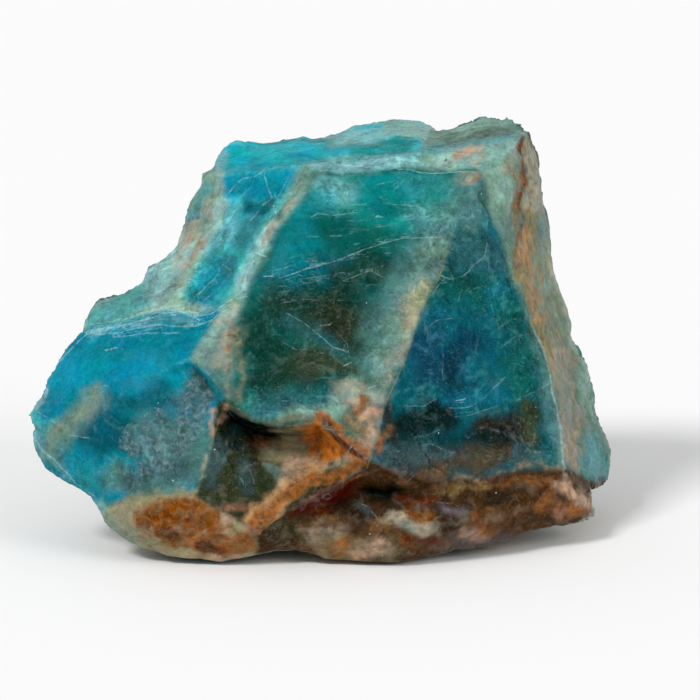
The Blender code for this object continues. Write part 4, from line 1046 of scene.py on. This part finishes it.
long_wisps = wisps(3.2, 2.2, 0.18, 0.60, 0.72)
short_wisps = wisps(1.5, 1.1, 0.14, 0.60, 0.72)
curl_lines = calc("MAXIMUM", curls(2.4, 0.035, 0.05, 0.3, 3.0), curls(1.3, 0.05, 0.1, 0.35, 11.0))
wide_fibres = fibres(2.4, 1.05, 1.75, 13.0)
fine_fibres = fibres(1.0, 1.1, 1.8, 17.0)
tiny_fibres = fibres(0.45, 1.2, 1.8, 19.0)
haze = ramp(pattern(1.2, 7.0, 0.3, 0.7, 5.0), -0.05, 0.5)
milk = ramp(pattern(3.6, 5.0, 0.3, 0.6, 9.0), -0.15, 0.45)

# %% [markdown]
# ## The crystal's colour
# The strokes give each place its tone. Noise makes it lighter and darker in clouds, then the veils lie over
# it as far as the veil layer lets them. A veil is seen through crystal, so its colour isn't white but a
# paler shade of the tone under it. Clear places, such as the swell, get almost none.

# %% Colour of the crystal
veil_amount = crystal_layer["Alpha"]
unrest = calc("MULTIPLY_ADD", veil_amount, 0.9, 0.3)  # clean zones are smooth, veiled ones restless
light = calc("MULTIPLY_ADD", times(clouds, unrest), 0.7, 1.0)
light = calc("MULTIPLY_ADD", times(mottle, unrest), 1.1, light)
light = calc("MULTIPLY_ADD", grain, 0.50, light)
light = calc("MULTIPLY_ADD", pattern(0.22, 3.0, 0.0, 0.6, 83.0), 0.30, light)
light = calc("MAXIMUM", light, 0.18)
body = mix(1.0, crystal_layer["Color"], light, "MULTIPLY")
greener = mix(1.0, body, (0.95, 1.03, 0.90, 1), "MULTIPLY")
bluer = mix(1.0, body, (1.0, 0.98, 1.04, 1), "MULTIPLY")
body = mix(ramp(pattern(3.0, 4.0, 0.3, 0.6, 21.0), -0.3, 0.3), greener, bluer)
paler = vector("MULTIPLY_ADD", body, (2.0, 2.0, 1.95), (0.003, 0.010, 0.010))
parts = add("SeparateColor", {0: crystal_layer["Color"]}).outputs
warm = ramp(calc("SUBTRACT", parts[0], parts[2]), -0.03, 0.01)
veil_tone = mix(warm, colour("veil"), colour("beige"))
veil_colour = mix(0.24, paler, veil_tone)
body = mix(times(milk, haze, veil_amount, 0.5), body, veil_colour)
body = mix(times(haze, veil_amount, 0.14), body, veil_colour)
body = mix(times(wide_fibres, ramp(milk, -0.2, 0.7), veil_amount, 1.0), body, veil_colour)
body = mix(times(fine_fibres, ramp(haze, -0.1, 0.8), veil_amount, 0.95), body, veil_colour)
body = mix(times(tiny_fibres, ramp(milk, -0.3, 0.6), veil_amount, 0.55), body, veil_colour)
wisp_colour = mix(0.5, paler, veil_tone)
body = mix(times(long_wisps, veil_amount, 0.5), body, wisp_colour)
body = mix(times(short_wisps, veil_amount, 0.3), body, wisp_colour)
body = mix(times(curl_lines, milk, veil_amount, 0.5), body, wisp_colour)

# the photo's blues hold no red at all, so a little is taken off again
STRAY_RED = (0.004, 0.0, 0.0)
body = vector("MAXIMUM", vector("SUBTRACT", body, STRAY_RED), (0.0, 0.0, 0.0))
print("nodes with the crystal's colour:", len(tree.nodes))

# %% [markdown]
# ## Snow in the swell
# The lower right of the swell holds a white growth, branched like frost on a window. A very rough noise is
# added to the soft patch from the layer and cut off at a level, which leaves ragged branches at the rim
# and a closed white middle. Strokes would have to be drawn branch by branch.

# %% The snowy patch: frost that grew in branches inside the swell
frost_field = calc("MULTIPLY_ADD", snow_here, 1.2, calc("MULTIPLY", pattern(1.8, 9.0, 0.5, 0.74, 31.0), 1.6))
frost_field = calc("MULTIPLY_ADD", fine_fibres, 0.45, frost_field)
snow_amount = times(ramp(frost_field, 0.75, 1.45), ramp(snow_here, 0.02, 0.3))
snow_white = mix(0.3, colour("mist"), colour("lilac"))
snow_colour = mix(ramp(pattern(0.6, 6.0, 0.3, 0.7, 37.0), -0.3, 0.5), colour("slate"), snow_white)
body = mix(times(snow_amount, 0.85), body, snow_colour)

# %% [markdown]
# ## The crust
# The old outer skin and the deep cracks carry a crust of beige, ochre and rust. It is opaque, so it is mixed
# over the crystal by the film layer. Noise is added to that layer before the cut, so that the crust ends in
# flecks and crumbs, as a real one does, and not in an even fade.

# %% Colour of the film, and the two together
film_cloud = pattern(1.7, 8.0, 0.3, 0.66, 41.0)
film_there = ramp(film_layer["Alpha"], 0.0, 0.35)
film_amount = calc("ADD", film_layer["Alpha"], times(film_cloud, 0.9, film_there))
film_amount = ramp(film_amount, 0.02, 1.15)
film_light = calc("MAXIMUM", calc("MULTIPLY_ADD", pattern(1.1, 7.0, 0.3, 0.70, 47.0), 1.7, 1.0), 0.15)
film_body = mix(1.0, film_layer["Color"], film_light, "MULTIPLY")
redder = mix(1.0, film_body, (1.0, 0.86, 0.72, 1), "MULTIPLY")
film_body = mix(ramp(pattern(2.2, 5.0, 0.4, 0.6, 53.0), -0.1, 0.45), film_body, redder)
film_body = mix(times(fine_fibres, 0.12), film_body, colour("cream"))
final = mix(film_amount, body, film_body)

# %% [markdown]
# ## Wear, painted shade, painted glints and fine lines
# Chipped edges are frosted, hollows get painted shade, and a few painted glints and dark grains sit
# anywhere.
# The bend layer finds the edges and hollows, and a Voronoi texture scatters the glints and grains, each the
# middle of a cell. The hair cracks and the painted glint lines come from their distances; noise shakes and
# breaks them, so that none looks ruled.

# %% Frosted edges, painted shade in hollows, dark pits and painted glints
frosted = times(ramp(bend_here, 0.02, 0.08), ramp(mottle, -0.4, 0.4), 0.40)
final = mix(frosted, final, mix(0.5, veil_colour, mix(0.5, final, colour("frost"))))
# painted shade: the hollows of the surface are darkened
hollow_shade = times(ramp(bend_here, -0.015, -0.07), 0.35)
final = mix(hollow_shade, final, mix(1.0, final, (0.45, 0.42, 0.40, 1), "MULTIPLY"))
# painted glints: bright specks in the glint white, one in some cells; the dark specks are pits
speck_cells = add("TexVoronoi", {"Vector": warped, "Scale": 1 / 1.9}, feature="F1")
speck = ramp(speck_cells.outputs["Distance"], 0.055, 0.025)
speck_kind = add("SeparateColor", {0: speck_cells.outputs["Color"]}).outputs
final = mix(times(speck, ramp(speck_kind[0], 0.55, 0.6), 0.8), final, colour("glint"))
final = mix(times(speck, ramp(speck_kind[0], 0.14, 0.1), 0.8), final, colour("umber"))

# %% Hair cracks and painted glints, the spine, and the painted glint along the arris
shaken_crack_and_glint = calc("MULTIPLY_ADD", pattern(1.3, 3.0, 0.0, 0.6, 71.0), 0.16, crack_and_glint[0])
crack_and_glint_line = times(ramp(calc("ABSOLUTE", shaken_crack_and_glint), 0.10, 0.02), ramp(crack_and_glint[1], 0.5, 0.25), crack_and_glint[2])
# strong lines run on, weak ones break up
broken = calc("MULTIPLY_ADD", crack_and_glint[2], 0.8, pattern(1.6, 3.0, 0.0, 0.6, 77.0))
crack_and_glint_line = times(crack_and_glint_line, ramp(grain, -0.5, 0.3), ramp(broken, 0.25, 0.6))
hair_glow = times(ramp(crack_and_glint[1], 0.6, 0.0), crack_and_glint[2], 0.25, ramp(haze, 0.0, 0.7))
final = mix(hair_glow, final, veil_colour)
final = mix(times(crack_and_glint_line, 0.85), final, mix(0.5, veil_colour, colour("frost")))
by_edge = times(ramp(edge[2], 0.5, 0.25), facing_here)
spine_line = times(ramp(calc("ABSOLUTE", edge[0]), 0.14, 0.04), by_edge, ramp(up_here, 34.0, 31.0))
final = mix(times(spine_line, ramp(mottle, -0.3, 0.2), 0.6), final, colour("ochre"))
# painted glint: a white line along the lower part of the arris
shaken_arris_glint = calc("MULTIPLY_ADD", mottle, 0.18, edge[1])
arris_glint_line = times(ramp(calc("ABSOLUTE", shaken_arris_glint), 0.20, 0.04), by_edge, ramp(up_here, 26.0, 23.0))
final = mix(times(arris_glint_line, ramp(grain, -0.4, 0.3), ramp(clouds, -0.5, 0.2), 0.75), final, colour("frost"))

# %% [markdown]
# ## Gloss and relief
# Fresh breaks are glossy and the crust is matt. The finest fracture, under a third of a millimetre, is finer
# than the mesh. It has no outline of its own, so a bump is enough: small flat chips in two sizes, the grain
# of the crust, and the brows of the hair cracks.

# %% Gloss and relief
HELD_DOWN = 0.80  # the light on the faces is a little over one, so the tones are held down by this
final = mix(1.0, final, (HELD_DOWN, HELD_DOWN, HELD_DOWN, 1), "MULTIPLY")
rough = calc("MULTIPLY_ADD", film_amount, 0.25, 0.28)
rough = calc("MULTIPLY_ADD", grain, 0.22, rough, clamp=True)


def chip_bump(size):
    """Small flat chips, each with its own tilt."""
    cells = add("TexVoronoi", {"Vector": warped, "Scale": 1 / size}, feature="F1")
    lean = vector("SUBTRACT", cells.outputs["Color"], (0.5, 0.5, 0.5))
    offset = vector("SUBTRACT", warped, cells.outputs["Position"])
    return add("VectorMath", {0: offset, 1: lean}, operation="DOT_PRODUCT").outputs["Value"]


def bump(height, strength, distance, below=None):
    links = {"Height": height, "Strength": strength, "Distance": distance * MM}
    if below:
        links["Normal"] = below
    return add("Bump", links).outputs[0]


relief = bump(pattern(0.7, 6.0, 0.0, 0.6, 61.0), 0.7, 0.07)
relief = bump(chip_bump(0.9), 0.4, 0.10, relief)
relief = bump(chip_bump(0.38), 0.4, 0.12, relief)
relief = bump(crack_and_glint_line, 0.5, 0.05, relief)

# %% [markdown]
# ## The shader
# Apatite bends light with an index of about 1.63. A little light goes in and comes out close by, most of it
# green and blue: subsurface scattering does that without the cost and the noise of true glass. The mirror
# shine is kept low, as the soft studio light shows almost none on the real faces.

# %% The shader
shader = add("BsdfPrincipled", {"Base Color": final, "Roughness": rough, "Normal": relief})
for name, value in {
    "IOR": 1.63, "Specular IOR Level": 0.02, "Subsurface Weight": 0.2,
    "Subsurface Scale": 0.8 * MM, "Subsurface Radius": (0.5, 1.0, 1.0),
}.items():
    shader.inputs[name].default_value = value
add("OutputMaterial", {"Surface": shader.outputs[0]})
stone.data.materials.clear()
stone.data.materials.append(material)
stone.data.shade_smooth()
print("the material has", len(tree.nodes), "nodes")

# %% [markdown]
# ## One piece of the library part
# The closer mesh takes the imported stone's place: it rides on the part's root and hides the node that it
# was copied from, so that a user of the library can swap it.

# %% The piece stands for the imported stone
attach(stone, "root")
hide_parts("raw_apatite")
print(stone.name, "has", len(stone.data.polygons), "faces")

# %% [markdown]
# ## Floor, light and camera
# The photo has the stone on pure white in soft, even light. A pale floor under a white sky gives that, and
# a wide sun from the upper left models the faces.

# %% Floor
bpy.ops.mesh.primitive_plane_add(size=3.0)
floor = bpy.context.object
floor.name = "floor"
paper = bpy.data.materials.new("matt white paper")
paper.use_nodes = True
paper_shader = paper.node_tree.nodes["Principled BSDF"]
paper_shader.inputs["Base Color"].default_value = (0.90, 0.90, 0.90, 1)
paper_shader.inputs["Roughness"].default_value = 0.9
paper_shader.inputs["Specular IOR Level"].default_value = 0.1
floor.data.materials.append(paper)

# %% Light: a white sky and two wide suns
world = bpy.data.worlds.new("studio")
bpy.context.scene.world = world
world.use_nodes = True
sky = world.node_tree.nodes["Background"]
sky.inputs["Color"].default_value = (1.0, 1.0, 1.0, 1)
sky.inputs["Strength"].default_value = 0.56


def wide_sun(name, heading, power, width):
    lamp = bpy.data.objects.new(name, bpy.data.lights.new(name, "SUN"))
    lamp.data.energy = power
    lamp.data.angle = math.radians(width)
    lamp.rotation_euler = Vector(heading).to_track_quat("-Z", "Y").to_euler()
    bpy.context.scene.collection.objects.link(lamp)


wide_sun("main_light", (0.50, 0.60, -0.75), 1.9, 14.0)
wide_sun("fill_light", (-0.70, 0.55, -0.50), 0.7, 30.0)

# %% Camera
VIEW_WIDTH = 72.165  # millimetres across the picture, at the point that the eye looks at
aim = Vector((
    EYE_RIGHT - MIDDLE_RIGHT,
    EYE_UP * math.sin(EYE_TILT) - FOOT_BACK * math.cos(EYE_TILT) - MIDDLE_BACK,
    EYE_UP * math.cos(EYE_TILT) + FOOT_BACK * math.sin(EYE_TILT),
)) * MM
toward_eye = Vector(TO_EYE)
camera = bpy.data.objects.new("camera", bpy.data.cameras.new("camera"))
bpy.context.scene.collection.objects.link(camera)
camera.location = aim + toward_eye * EYE_DISTANCE * MM
camera.rotation_euler = (-toward_eye).to_track_quat("-Z", "Y").to_euler()
camera.data.sensor_width = 36.0
camera.data.lens = camera.data.sensor_width * EYE_DISTANCE / VIEW_WIDTH
bpy.context.scene.camera = camera
bpy.context.scene.view_settings.view_transform = "Standard"
